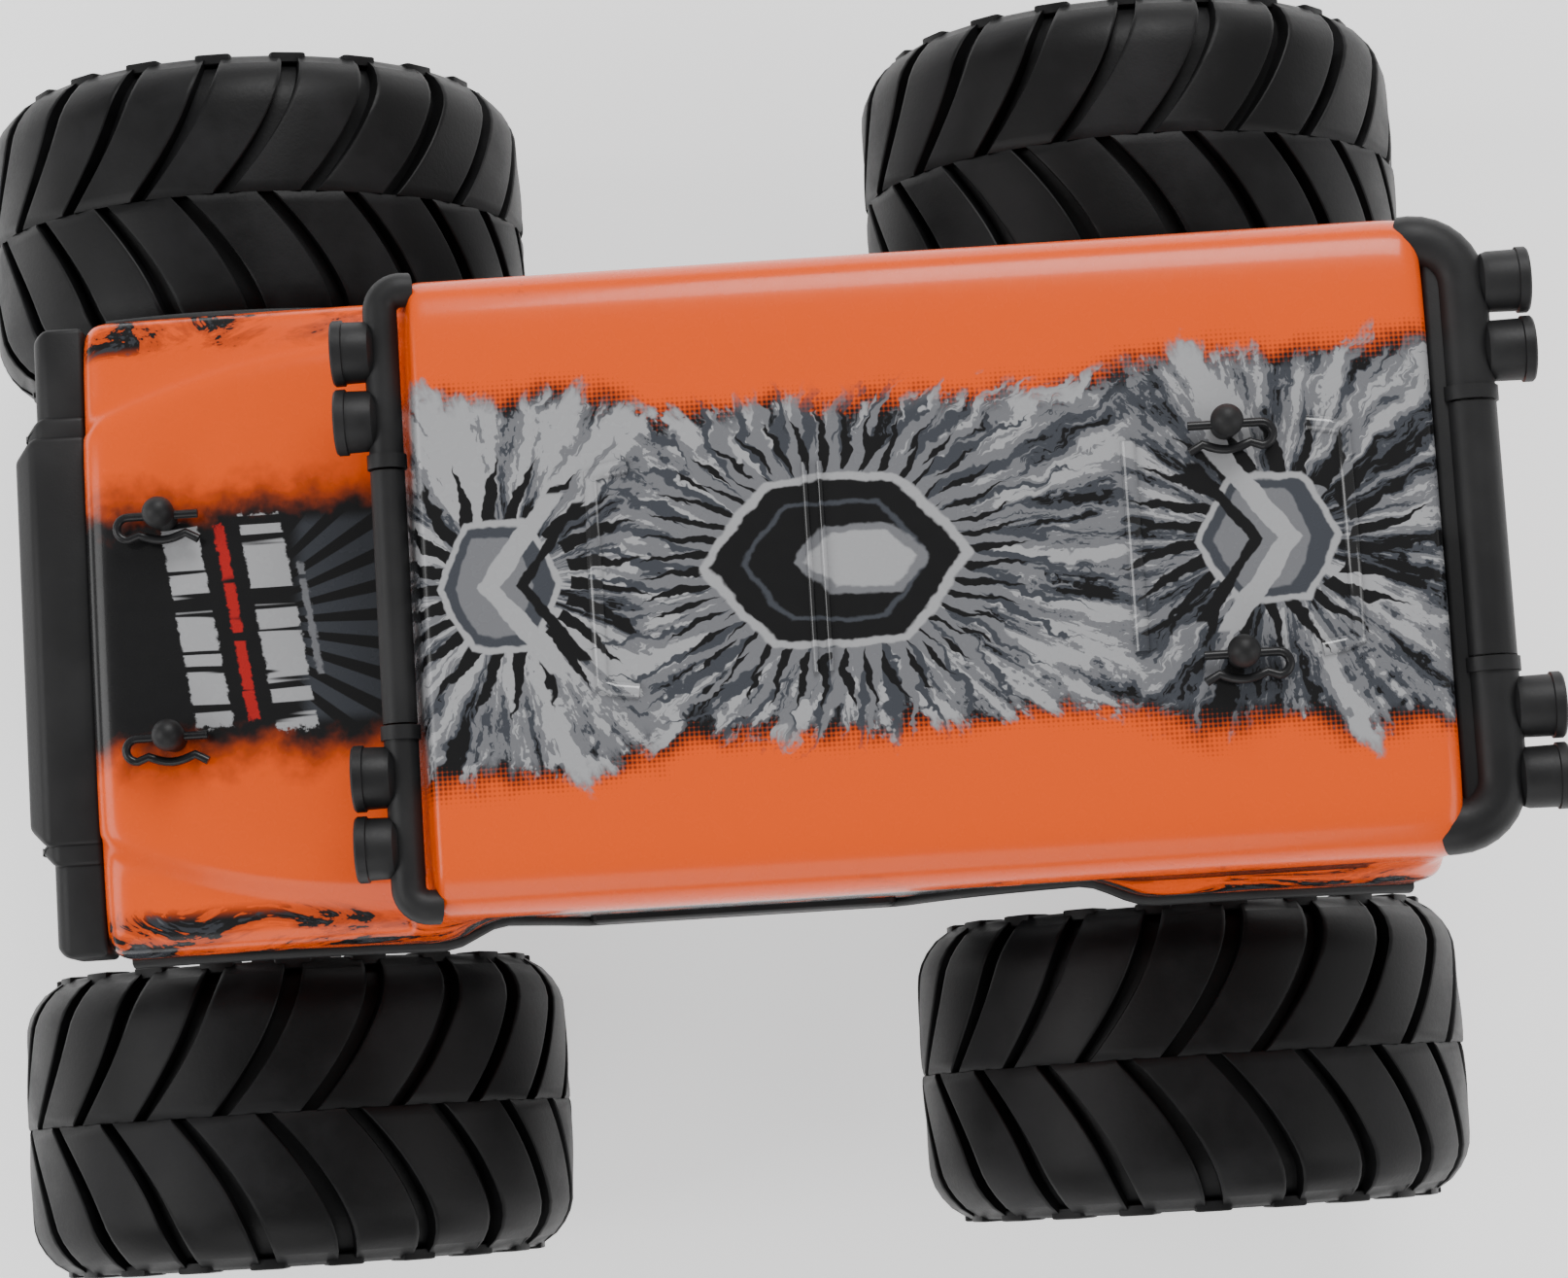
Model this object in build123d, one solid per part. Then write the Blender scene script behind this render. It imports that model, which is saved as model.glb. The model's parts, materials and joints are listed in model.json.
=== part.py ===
from build123d import *
import math
import os

# A radio-controlled monster truck. X points forward, Y to its left, Z up, and the ground is at Z = 0.
# All lengths are in millimetres and all angles in degrees.

# Wheels and stance
wheelbase = 190.0
tyre_radius = 57.5
tyre_width = 62.5
wheel_centre_y = 94.0
axle_z = tyre_radius
carcass_wall = 3.0
shoulder_round = 9.0
bead_height = 3.2
sidewall_rise = 8.0
groove_count = 20
groove_width = 5.5
groove_depth = 4.0
groove_slant = 28.0
bead_radius = 36.5
bead_width = 40.0
rim_width = 46.0
rim_wall = 2.4
rim_flange = 2.5
rim_disc_offset = 4.0
rim_disc = 4.0
rim_hole_count = 6
rim_hole_radius = 6.5
rim_hub_radius = 9.0
rim_hub_length = 16.0

# Body shell
hood_z = axle_z + 93.5
roof_z = axle_z + 122.0
skirt_z = axle_z + 38.5
nose_x = 120.0
tail_x = -140.0
windshield_base_x = 60.0
windshield_top_x = 51.0
fender_half = 63.0
roof_half = 60.7
roof_round = 8.0
hood_round = 4.0
corner_round = 9.0
shell_wall = 1.5
cab_sink = 12.0
front_arch_radius = 74.0
rear_arch_radius = 69.0
arch_inner_y = 38.0
arch_lift = 4.0
hood_panel_half = 44.0
hood_panel_setback = 8.0
hood_panel_start = 6.0
hood_panel_rise = 1.0
roof_pad_half = 20.5
roof_pad_rise = 0.8
roof_pad_spans = ((-22.5, 19.0), (-122.5, -82.0))
panel_round = 3.0

# Roof light bars, measured from the shell
front_bar_radius = 3.3
rear_bar_radius = 5.2
bar_split_y = 24.0
bar_gap = 0.8
front_bar_end_y = 58.7
rear_bar_end_y = 55.6
front_bar_z = roof_z - 5.5
rear_bar_z = roof_z - 7.5
bar_lug_half = 3.0
bar_lug_y = 40.5
bar_lug_height = 3.0
bar_standoff = 1.2
rear_bar_standoff = 2.2
bar_bend_radius = 6.0
lamp_radius = 6.3
front_lamp_length = 6.0
rear_lamp_length = 7.6
lamp_sink = 2.0
lamp_rows_y = (33.9, 47.2)
lens_rim = 0.9
lens_recess = 0.6
lens_thickness = 1.4

# Nose guard
guard_reach = 14.8
guard_half = 40.0
guard_wing_half = 62.0
guard_wing_reach = 9.5
guard_top_z = hood_z - 8.0
guard_bottom_z = guard_top_z - 39.0
guard_wing_bottom_z = guard_top_z - 16.0
guard_slot_count = 3
guard_slot_pitch = 9.0
guard_slot_height = 5.0
guard_slot_depth = 5.0
guard_slot_edge = 8.0
guard_bevel = 5.0
guard_wing_bevel = 2.5

# Chassis
plate_bottom_z = axle_z - 17.5
plate_thickness = 3.0
plate_half_mid = 34.0
plate_half_end = 18.0
plate_mid_half_length = 42.0
plate_rail = 2.0
plate_rail_height = 9.0
block_half = 17.0
block_top_z = axle_z + 21.5
block_rear_x = -9.5
tower_x = 16.0
tower_thickness = 3.0
slab_x = -13.0
slab_height = 7.0
nose_skid_x = 34.0
nose_skid_half = 26.0

# Suspension: the lower arm and the upper link are equal and parallel
inner_pivot_y = 22.0
arm_span = 40.0
arm_drop = 3.0
lower_pivot_z = axle_z - 10.5
pivot_rise = 25.0
pin_radius = 1.5
running_gap = 0.05
side_gap = 0.4
arm_barrel_radius = 3.0
arm_inner_half = 9.6
arm_outer_half = 5.0
arm_web_inner_half = 8.0
arm_web_outer_half = 4.6
arm_web_thickness = 4.0
ear_thickness = 3.0
link_x = -4.0
link_half = 2.5
link_ear = 2.6
link_rod_radius = 1.5

# Shock absorbers
shock_x = 8.0
shock_top_y = 34.0
shock_top_z = axle_z + 48.5
shock_foot_y = 50.0
shock_foot_z = axle_z - 6.5
shock_pin_radius = 1.25
shock_eye_half = 2.0
shock_eye_radius = 3.2
shock_foot_clearance = 0.85
shock_foot_wall = 1.7
shock_tube_radius = 4.2
shock_tube_start = 2.5
shock_tube_end = 29.0
shock_bore_start = 6.0
shock_rod_radius = 1.5
shock_rod_start = 14.0
spring_seat = 1.5
spring_top = 9.0
spring_foot = 43.0
spring_outer_radius = 5.5
spring_wire_radius = 0.6
spring_turns = 8

# Hub carriers and knuckles
carrier_inner_y = 59.5
carrier_outer_y = 64.5
carrier_half = 8.0
carrier_bottom_z = axle_z - 17.0
carrier_top_z = axle_z + 8.5
carrier_slot_gap = 0.6
kingpin_y = 72.0
kingpin_radius = 2.0
kingpin_ear = 3.0
kingpin_ear_half = 5.0
knuckle_half_height = 7.1
knuckle_gap = 0.3
knuckle_half_x = 6.0
knuckle_inner = 4.5
knuckle_outer = 5.0
stub_radius = 2.5
axle_radius = 3.0
bearing_wall = 3.5
axle_end_offset = 20.0
nut_flats = 7.0
nut_length = 4.5
hex_flats = 12.0
hex_length = 5.0

# Steering
steer_arm = 16.0
tie_inner_y = 32.0
rack_z = axle_z + 8.5
rack_half_height = 2.3
rack_half_x = 3.7
rack_ear = 1.6
tie_barrel_radius = 2.6
tie_pin_radius = 1.25
tie_rod_radius = 1.5
tie_eye_radius = 4.3
tie_eye_bore = 2.8
tie_eye_height = 3.4
tie_eye_gap = 1.2
steer_arm_half = 2.2
steer_arm_thickness = 3.2
steer_post_radius = 1.4
steer_post_length = 6.4
horn_thickness = 2.2
horn_gap = 2.5
horn_half = 3.0
peg_radius = 1.2
peg_gap = 0.35
servo_length = 23.0
servo_half = 6.0
servo_height = 21.0
servo_shaft_inset = 6.0
servo_shaft_radius = 2.5
servo_lug = 4.0
servo_lug_drop = 7.0
servo_lug_thickness = 2.0
rack_slot_angle = 24.0

# Drive train
gear_module = 0.5
drive_teeth = 52
pinion_teeth = 16
gear_backlash = 0.12
gear_width = 7.0
gear_near_y = 9.0
pressure_angle = 20.0
mesh_angle = 30.0
cup_radius = 5.2
cup_bore_radius = 3.4
cup_inner_y = 17.3
cup_length = 6.0
cup_floor = 0.4
bone_ball_radius = 2.5
bone_radius = 1.8
bone_start_y = 20.3
gear_room = 0.5
case_wall = 1.6
axle_cup_gap = 0.6
axle_cup_start = 57.5
motor_radius = 10.0
motor_near_y = -6.4
motor_length = 23.0
motor_bell = 4.0
motor_shaft_radius = 1.0

# Electronics on the plate
battery_size = (90.0, 29.0, 19.0)
controller_size = (50.0, 26.0, 18.0)
pack_round = 2.5
battery_setback = 5.0
pack_gap = 2.0
fin_count = 5
fin_pitch = 8.0
fin_width = 2.4
fin_height = 4.0

# Body posts and clips
front_post_x = 103.8
rear_post_x = -100.2
post_y = 21.6
post_radius = 3.4
post_neck_radius = 2.6
post_hole_gap = 0.5
post_foot_z = axle_z + 40.5
post_foot_height = 12.0
post_above = 6.5
post_ball_radius = 3.1
clip_wire_radius = 0.75
clip_height = 2.2
clip_leg = 9.0
clip_tail = 7.0
clip_spread = 4.6
clip_bend = 2.2

# Worked-out places
rear_lamp_reach = -tail_x + rear_bar_standoff + 2 * rear_bar_radius + rear_lamp_length
front_reach = wheelbase / 2 + tyre_radius
centre_shift = (max(rear_lamp_reach, wheelbase / 2 + tyre_radius) - front_reach) / 2
front_axle_x = centre_shift + wheelbase / 2
rear_axle_x = centre_shift - wheelbase / 2
outer_pivot_y = inner_pivot_y + arm_span
outer_pivot_z = lower_pivot_z - arm_drop
plate_top_z = plate_bottom_z + plate_thickness
tie_outer_y = tie_inner_y + arm_span
tie_outer_z = rack_z - arm_drop
gear_distance = gear_module * (drive_teeth + pinion_teeth) / 2
motor_x = -gear_distance * math.cos(math.radians(mesh_angle))
motor_z = axle_z + gear_distance * math.sin(math.radians(mesh_angle))
shock_length = math.hypot(shock_top_y - shock_foot_y, shock_top_z - shock_foot_z)

corners = {
    "fl": (front_axle_x, 1, 1),
    "fr": (front_axle_x, 1, -1),
    "rl": (rear_axle_x, -1, 1),
    "rr": (rear_axle_x, -1, -1),
}


def block(x_span, y_span, z_span):
    """A box between two values on each axis."""
    sizes = [high - low for low, high in (x_span, y_span, z_span)]
    middle = [(high + low) / 2 for low, high in (x_span, y_span, z_span)]
    return Pos(*middle) * Box(*sizes)


def rod_x(radius, x_span, y, z):
    return Pos((x_span[0] + x_span[1]) / 2, y, z) * Rot(Y=90) * Cylinder(radius, x_span[1] - x_span[0])


def rod_y(radius, x, y_span, z):
    return Pos(x, (y_span[0] + y_span[1]) / 2, z) * Rot(X=-90) * Cylinder(radius, y_span[1] - y_span[0])


def rod_z(radius, x, y, z_span):
    return Pos(x, y, (z_span[0] + z_span[1]) / 2) * Cylinder(radius, z_span[1] - z_span[0])


def rod_between(radius, start, end):
    """A round rod from one point to another."""
    direction = Vector(*end) - Vector(*start)
    return Plane(origin=start, z_dir=direction) * Pos(0, 0, direction.length / 2) * Cylinder(
        radius, direction.length)


def tube_path(radius, points, bends):
    """A round bar bent through the given points."""
    path = FilletPolyline(*points, radius=bends)
    profile = Plane(origin=path @ 0, z_dir=path % 0) * Circle(radius)
    return sweep(profile, path=path)


def place(shape, corner):
    """Move a piece built for the front left corner, at X = 0, to any corner."""
    axle_x, facing, side = corners[corner]
    if facing < 0:
        shape = mirror(shape, about=Plane.YZ)
    if side < 0:
        shape = mirror(shape, about=Plane.XZ)
    return Pos(axle_x, 0, 0) * shape


def both_sides(shape):
    return [shape, mirror(shape, about=Plane.XZ)]


def save(name, *pieces):
    """Write one node, as a single solid or as a group of separate ones."""
    solids = [solid for piece in pieces for solid in piece.solids()]
    if len(solids) == 1:
        export_step(solids[0], f"parts/{name}.step")
    else:
        export_step(Compound(children=solids), f"parts/{name}.step")


# Tyres and rims, built around the Y axis with the wheel centre at the origin

def around_y(shape):
    """Turn a shape that was revolved about X so that its axis is Y."""
    return Rot(Z=90) * shape


def tyre_section(inset):
    half = tyre_width / 2 - inset
    crown = tyre_radius - inset - (groove_depth if inset else 0)
    wall_start = bead_radius + sidewall_rise
    bead_half = bead_width / 2 - inset
    outline = Polyline(
        (-bead_half, bead_radius), (-bead_half, bead_radius + bead_height), (-half, wall_start),
        (-half, crown), (half, crown), (half, wall_start), (bead_half, bead_radius + bead_height),
        (bead_half, bead_radius), (-bead_half, bead_radius))
    face = make_face(outline)
    top_corners = face.vertices().sort_by(Axis.Y)[-2:]
    return fillet(top_corners, shoulder_round - 1.5 * inset)


def build_tyre():
    tyre = revolve(tyre_section(0) - tyre_section(carcass_wall), axis=Axis.X)
    groove_length = tyre_width / 2
    grooves = []
    for index in range(groove_count):
        for side in (-1, 1):
            turn = (index + (0.5 if side > 0 else 0)) * 360 / groove_count
            groove = Box(groove_length, groove_width, 2 * groove_depth)
            groove = Pos(side * (groove_length / 2 + 1), 0, tyre_radius) * Rot(Z=side * groove_slant) * groove
            grooves.append(Rot(X=turn) * groove)
    return around_y(tyre - grooves)


def build_rim(bore_radius, hex_pocket):
    half = rim_width / 2
    barrel_radius = bead_radius
    flange = Polyline(
        (-half, barrel_radius - rim_wall), (half, barrel_radius - rim_wall),
        (half, barrel_radius + rim_flange), (bead_width / 2 + 0.2, barrel_radius + rim_flange),
        (bead_width / 2 + 0.2, barrel_radius), (-bead_width / 2 - 0.2, barrel_radius),
        (-bead_width / 2 - 0.2, barrel_radius + rim_flange), (-half, barrel_radius + rim_flange),
        (-half, barrel_radius - rim_wall))
    barrel = revolve(make_face(flange), axis=Axis.X)
    disc = Pos(rim_disc_offset + rim_disc / 2, 0, 0) * Rot(Y=90) * Cylinder(barrel_radius - rim_wall + 0.5, rim_disc)
    hub_end = rim_disc_offset + rim_disc + 2
    hub = Pos(hub_end - rim_hub_length / 2, 0, 0) * Rot(Y=90) * Cylinder(rim_hub_radius, rim_hub_length)
    rim = barrel + disc + hub
    hole_circle = (barrel_radius + rim_hub_radius) / 2
    for index in range(rim_hole_count):
        hole = Pos(rim_disc_offset + rim_disc / 2, hole_circle, 0) * Rot(Y=90) * Cylinder(rim_hole_radius, 2 * rim_disc)
        rim -= Rot(X=index * 360 / rim_hole_count) * hole
    rim -= Rot(Y=90) * Cylinder(bore_radius, 3 * rim_hub_length)
    if hex_pocket:
        pocket = extrude(RegularPolygon(hex_flats / 2, 6, major_radius=False), hex_length)
        rim -= Pos(hub_end - rim_hub_length, 0, 0) * Rot(Y=90) * Rot(Z=30) * pocket
    return around_y(rim)


def build_wheels():
    tyre = build_tyre()
    for corner, (_, facing, _) in corners.items():
        front = facing > 0
        rim = build_rim(stub_radius + running_gap if front else axle_radius, not front)
        save(f"{corner}_tyre", place(Pos(0, wheel_centre_y, axle_z) * tyre, corner))
        save(f"{corner}_rim", place(Pos(0, wheel_centre_y, axle_z) * rim, corner))


def hex_nut(bore_radius, y_start):
    nut = extrude(RegularPolygon(nut_flats / 2, 6, major_radius=False) - Circle(bore_radius), nut_length)
    return Pos(0, y_start, axle_z) * Rot(X=-90) * nut


# Suspension corner, built for the front left

def sloped_web(start_half, end_half):
    """The flat web of the lower arm, running down from the inner to the outer pivot."""
    inset = arm_barrel_radius / 2
    outline = Polyline(
        (-start_half, inset), (start_half, inset), (end_half, arm_length - inset),
        (-end_half, arm_length - inset), (-start_half, inset))
    web = extrude(make_face(outline), arm_web_thickness / 2, both=True)
    return Pos(0, inner_pivot_y, lower_pivot_z) * Rot(X=-arm_slope) * web


arm_length = math.hypot(arm_span, arm_drop)
arm_slope = math.degrees(math.atan2(arm_drop, arm_span))


def build_arm():
    inner = rod_x(arm_barrel_radius + 0.5, (-arm_inner_half, arm_inner_half), inner_pivot_y, lower_pivot_z)
    outer = rod_x(arm_barrel_radius, (-arm_outer_half, arm_outer_half), outer_pivot_y, outer_pivot_z)
    foot_start = shock_x - shock_eye_half - side_gap
    boss = block((foot_start - 3, foot_start), (shock_foot_y - 3, shock_foot_y + 3),
                 (shock_foot_z - 7, shock_foot_z + shock_pin_radius + 1))
    pin = rod_x(shock_pin_radius, (foot_start - 1, shock_x + shock_eye_half + 1), shock_foot_y, shock_foot_z)
    arm = inner + outer + sloped_web(arm_web_inner_half, arm_web_outer_half) + boss + pin
    bore = pin_radius + running_gap
    arm -= rod_x(bore, (-2 * arm_inner_half, 2 * arm_inner_half), inner_pivot_y, lower_pivot_z)
    arm -= rod_x(bore, (-2 * arm_inner_half, 2 * arm_inner_half), outer_pivot_y, outer_pivot_z)
    return arm


def build_link():
    inner = (link_x, inner_pivot_y, lower_pivot_z + pivot_rise)
    outer = (link_x, outer_pivot_y, outer_pivot_z + pivot_rise)
    span = (link_x - link_half, link_x + link_half)
    link = rod_between(link_rod_radius, inner, outer)
    for _, y, z in (inner, outer):
        link += rod_x(arm_barrel_radius, span, y, z)
    for _, y, z in (inner, outer):
        link -= rod_x(pin_radius + running_gap, (span[0] - 1, span[1] + 1), y, z)
    return link


def link_ears(y_span, z_span):
    """Two ears that hold the pin of the upper link."""
    near = link_half + side_gap
    far = near + link_ear
    return (block((link_x - far, link_x - near), y_span, z_span)
            + block((link_x + near, link_x + far), y_span, z_span))


def link_pin(y, z):
    reach = link_half + side_gap + link_ear
    return rod_x(pin_radius, (link_x - reach, link_x + reach), y, z)


def build_carrier(front):
    """The hub carrier, its lower hinge pin, its upper pin and, at the front, the kingpin."""
    upper_z = outer_pivot_z + pivot_rise
    body = block((-carrier_half, carrier_half), (carrier_inner_y, carrier_outer_y),
                 (carrier_bottom_z, carrier_top_z))
    shelf_z = upper_z - arm_barrel_radius - carrier_slot_gap
    body -= block((link_x - link_half - side_gap, link_x + link_half + side_gap),
                  (carrier_inner_y - 1, carrier_outer_y + 1), (shelf_z, carrier_top_z + 1))
    body += link_ears((outer_pivot_y - 2.5, outer_pivot_y + 2.5), (shelf_z - 2, upper_z + arm_barrel_radius))
    slot = arm_outer_half + side_gap
    slot_top = outer_pivot_z + arm_barrel_radius + carrier_slot_gap
    body -= block((-slot, slot), (carrier_inner_y - 1, outer_pivot_y), (carrier_bottom_z - 1, slot_top))
    pins = [rod_x(pin_radius, (-carrier_half, carrier_half), outer_pivot_y, outer_pivot_z),
            link_pin(outer_pivot_y, upper_z)]
    if front:
        ear_gap = knuckle_half_height + knuckle_gap
        for side in (-1, 1):
            levels = sorted((axle_z + side * ear_gap, axle_z + side * (ear_gap + kingpin_ear)))
            body += block((-kingpin_ear_half, kingpin_ear_half),
                          (carrier_outer_y, kingpin_y + kingpin_ear_half), levels)
        reach = ear_gap + kingpin_ear
        pins.append(rod_z(kingpin_radius, 0, kingpin_y, (axle_z - reach, axle_z + reach)))
    else:
        sleeve_end = kingpin_y + knuckle_outer
        body += rod_y(axle_radius + bearing_wall, 0, (carrier_outer_y, sleeve_end), axle_z)
        body -= rod_y(axle_radius + running_gap, 0, (carrier_inner_y, sleeve_end + 1), axle_z)
        body -= rod_y(cup_radius + axle_cup_gap, 0, (carrier_inner_y - 1, carrier_outer_y), axle_z)
    room = arm_barrel_radius + carrier_slot_gap
    body -= rod_x(room, (-slot, slot), outer_pivot_y, outer_pivot_z)
    link_slot = link_half + side_gap
    body -= rod_x(room, (link_x - link_slot, link_x + link_slot), outer_pivot_y, upper_z)
    for pin in pins:
        body -= pin
    return [body, *pins]


def build_knuckle():
    """The steering knuckle with its stub axle and steering arm, and the wheel nut."""
    body = block((-knuckle_half_x, knuckle_half_x), (kingpin_y - knuckle_inner, kingpin_y + knuckle_outer),
                 (axle_z - knuckle_half_height, axle_z + knuckle_half_height))
    stub_end = wheel_centre_y + axle_end_offset
    body += rod_y(stub_radius, 0, (kingpin_y + knuckle_outer - 1, stub_end), axle_z)
    arm_top = tie_outer_z - tie_eye_height / 2 - tie_eye_gap
    arm_bottom = arm_top - steer_arm_thickness
    body += block((-steer_arm, 0), (kingpin_y - steer_arm_half, kingpin_y + steer_arm_half),
                  (arm_bottom, arm_top))
    body += rod_z(steer_arm_half, -steer_arm, kingpin_y, (arm_bottom, arm_top))
    body += rod_z(steer_post_radius, -steer_arm, kingpin_y, (arm_top - 1, arm_top + steer_post_length))
    body -= rod_z(kingpin_radius + running_gap, 0, kingpin_y, (0, 2 * axle_z))
    nut = hex_nut(stub_radius, rim_outer_face + side_gap)
    return [body, nut]


rim_outer_face = wheel_centre_y + rim_disc_offset + rim_disc + 2


def build_tie_rod():
    inner = (-steer_arm, tie_inner_y, rack_z)
    outer = (-steer_arm, tie_outer_y, tie_outer_z)
    half = rack_half_x - rack_ear - side_gap / 2
    eye_span = (tie_outer_z - tie_eye_height / 2, tie_outer_z + tie_eye_height / 2)
    rod = rod_between(tie_rod_radius, inner, outer)
    rod += rod_x(tie_barrel_radius, (-steer_arm - half, -steer_arm + half), tie_inner_y, rack_z)
    rod += rod_z(tie_eye_radius, -steer_arm, tie_outer_y, eye_span)
    rod -= rod_z(tie_eye_bore, -steer_arm, tie_outer_y, (tie_outer_z - 10, tie_outer_z + 10))
    rod -= rod_x(tie_pin_radius + running_gap, (-steer_arm - 10, -steer_arm + 10), tie_inner_y, rack_z)
    return rod


def shock_frame():
    """A plane at the upper shock pivot whose Z axis runs down the shock."""
    down = Vector(0, shock_foot_y - shock_top_y, shock_foot_z - shock_top_z)
    return Plane(origin=(shock_x, shock_top_y, shock_top_z), x_dir=(1, 0, 0), z_dir=down)


def build_shock_tube():
    eye = Rot(Y=90) * Cylinder(shock_eye_radius, 2 * shock_eye_half)
    tube = Pos(0, 0, (shock_tube_start + shock_tube_end) / 2) * Cylinder(
        shock_tube_radius, shock_tube_end - shock_tube_start)
    seat = Pos(0, 0, spring_top - spring_seat / 2) * Cylinder(spring_outer_radius, spring_seat)
    body = eye + (tube & Pos(0, 0, 20) * Box(4 * shock_eye_half + 20, 20, 60)) + seat
    body -= Rot(Y=90) * Cylinder(shock_pin_radius + running_gap, 20)
    bore_length = shock_tube_end - shock_bore_start + 1
    body -= Pos(0, 0, shock_bore_start + bore_length / 2) * Cylinder(shock_rod_radius + running_gap, bore_length)
    return shock_frame() * body


def build_shock_rod():
    foot_bore = shock_pin_radius + shock_foot_clearance
    rod = Pos(0, 0, (shock_rod_start + shock_length) / 2) * Cylinder(
        shock_rod_radius, shock_length - shock_rod_start)
    rod += Pos(0, 0, spring_foot + spring_seat / 2) * Cylinder(spring_outer_radius, spring_seat)
    eye = Pos(0, 0, shock_length) * Rot(Y=90) * Cylinder(foot_bore + shock_foot_wall, 2 * shock_eye_half)
    hole = Pos(0, 0, shock_length) * Rot(Y=90) * Cylinder(foot_bore, 6 * shock_eye_half)
    return shock_frame() * (rod + eye - hole)


def build_spring():
    height = spring_foot - spring_top - 2 * spring_wire_radius
    coil_radius = spring_outer_radius - spring_wire_radius
    helix = Helix(pitch=height / spring_turns, height=height, radius=coil_radius)
    profile = Plane(origin=helix @ 0, z_dir=helix % 0) * Circle(spring_wire_radius)
    coil = sweep(profile, path=helix, is_frenet=True)
    return shock_frame() * Pos(0, 0, spring_top + spring_wire_radius) * coil


def build_wheel_axle():
    """The rear wheel axle with its drive cup and hex, and the wheel nut."""
    end = wheel_centre_y + axle_end_offset
    cup_end = carrier_outer_y - 0.5
    axle = rod_y(axle_radius, 0, (cup_end - 1, end), axle_z)
    axle += rod_y(cup_radius, 0, (axle_cup_start, cup_end), axle_z)
    axle -= rod_y(cup_bore_radius, 0, (axle_cup_start - 1, cup_end - cup_floor), axle_z)
    hex_start = rim_outer_face - rim_hub_length
    driver = extrude(RegularPolygon(hex_flats / 2, 6, major_radius=False), hex_length)
    axle += Pos(0, hex_start, axle_z) * Rot(X=-90) * driver
    return [axle, hex_nut(axle_radius, rim_outer_face)]


def build_dogbone():
    end_y = bone_start_y + arm_span
    bone = rod_y(bone_radius, 0, (bone_start_y, end_y), axle_z)
    for y in (bone_start_y, end_y):
        bone += Pos(0, y, axle_z) * Sphere(bone_ball_radius)
    return bone


def build_corners():
    arm = build_arm()
    link = build_link()
    tube = build_shock_tube()
    rod = build_shock_rod()
    spring = build_spring()
    for corner, (_, facing, _) in corners.items():
        save(f"{corner}_lower_arm", place(arm, corner))
        save(f"{corner}_upper_link", place(link, corner))
        save(f"{corner}_shock_tube", place(tube, corner))
        save(f"{corner}_shock_rod", place(rod, corner))
        save(f"{corner}_spring", place(spring, corner))
        save(f"{corner}_hub_carrier", *[place(piece, corner) for piece in build_carrier(facing > 0)])
        if facing > 0:
            save(f"{corner}_knuckle", *[place(piece, corner) for piece in build_knuckle()])
            save(f"{corner}_tie_rod", place(build_tie_rod(), corner))
        else:
            save(f"{corner}_wheel_axle", *[place(piece, corner) for piece in build_wheel_axle()])
            save(f"{corner}_dogbone", place(build_dogbone(), corner))


# Chassis pieces

def pivot_block(block_start):
    """The block that carries both inner pivots, built at X = 0 with the shock tower side forward."""
    body = block((block_start, tower_x), (-block_half, block_half), (plate_top_z, block_top_z))
    body += block((slab_x, tower_x), (-plate_half_end, plate_half_end), (plate_top_z, plate_top_z + slab_height))
    ear_top = lower_pivot_z + arm_barrel_radius + 0.5
    ear_start = arm_inner_half + side_gap
    for side in (-1, 1):
        ear_y = sorted((side * (block_half - 2), side * (inner_pivot_y + arm_barrel_radius)))
        for end in (-1, 1):
            ear_x = sorted((end * ear_start, end * (ear_start + ear_thickness)))
            body += block(ear_x, ear_y, (plate_top_z, ear_top))
        top = lower_pivot_z + pivot_rise
        link_ear_y = sorted((side * (block_half - 6), side * (inner_pivot_y + arm_barrel_radius)))
        body += link_ears(link_ear_y, (top - 2 * arm_barrel_radius, block_top_z))
        body -= rod_x(pin_radius, (-30, 30), side * inner_pivot_y, lower_pivot_z)
        body -= link_pin(side * inner_pivot_y, top)
    return body


def build_front_bulkhead():
    body = pivot_block(block_rear_x)
    skid = block((tower_x, nose_skid_x), (-nose_skid_half, nose_skid_half), (plate_bottom_z + 6, plate_bottom_z + 16))
    nose_edges = skid.edges().filter_by(Axis.Z).sort_by(Axis.X)[-2:]
    skid = fillet(nose_edges, nose_skid_x - tower_x - 6)
    foot = block((tower_x - 4, tower_x + 4), (-plate_half_end, plate_half_end), (plate_top_z, plate_bottom_z + 16))
    save("front_bulkhead", Pos(front_axle_x, 0, 0) * (body + skid + foot))


def gear_cavity():
    """The room for the drive gear and the pinion."""
    y_span = (-gear_near_y - gear_width - side_gap, -gear_near_y + side_gap)
    drive_room = gear_module * (drive_teeth / 2 + 1) + gear_room
    pinion_room = gear_module * (pinion_teeth / 2 + 1) + gear_room
    return rod_y(drive_room, 0, y_span, axle_z) + rod_y(pinion_room, motor_x, y_span, motor_z)


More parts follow.
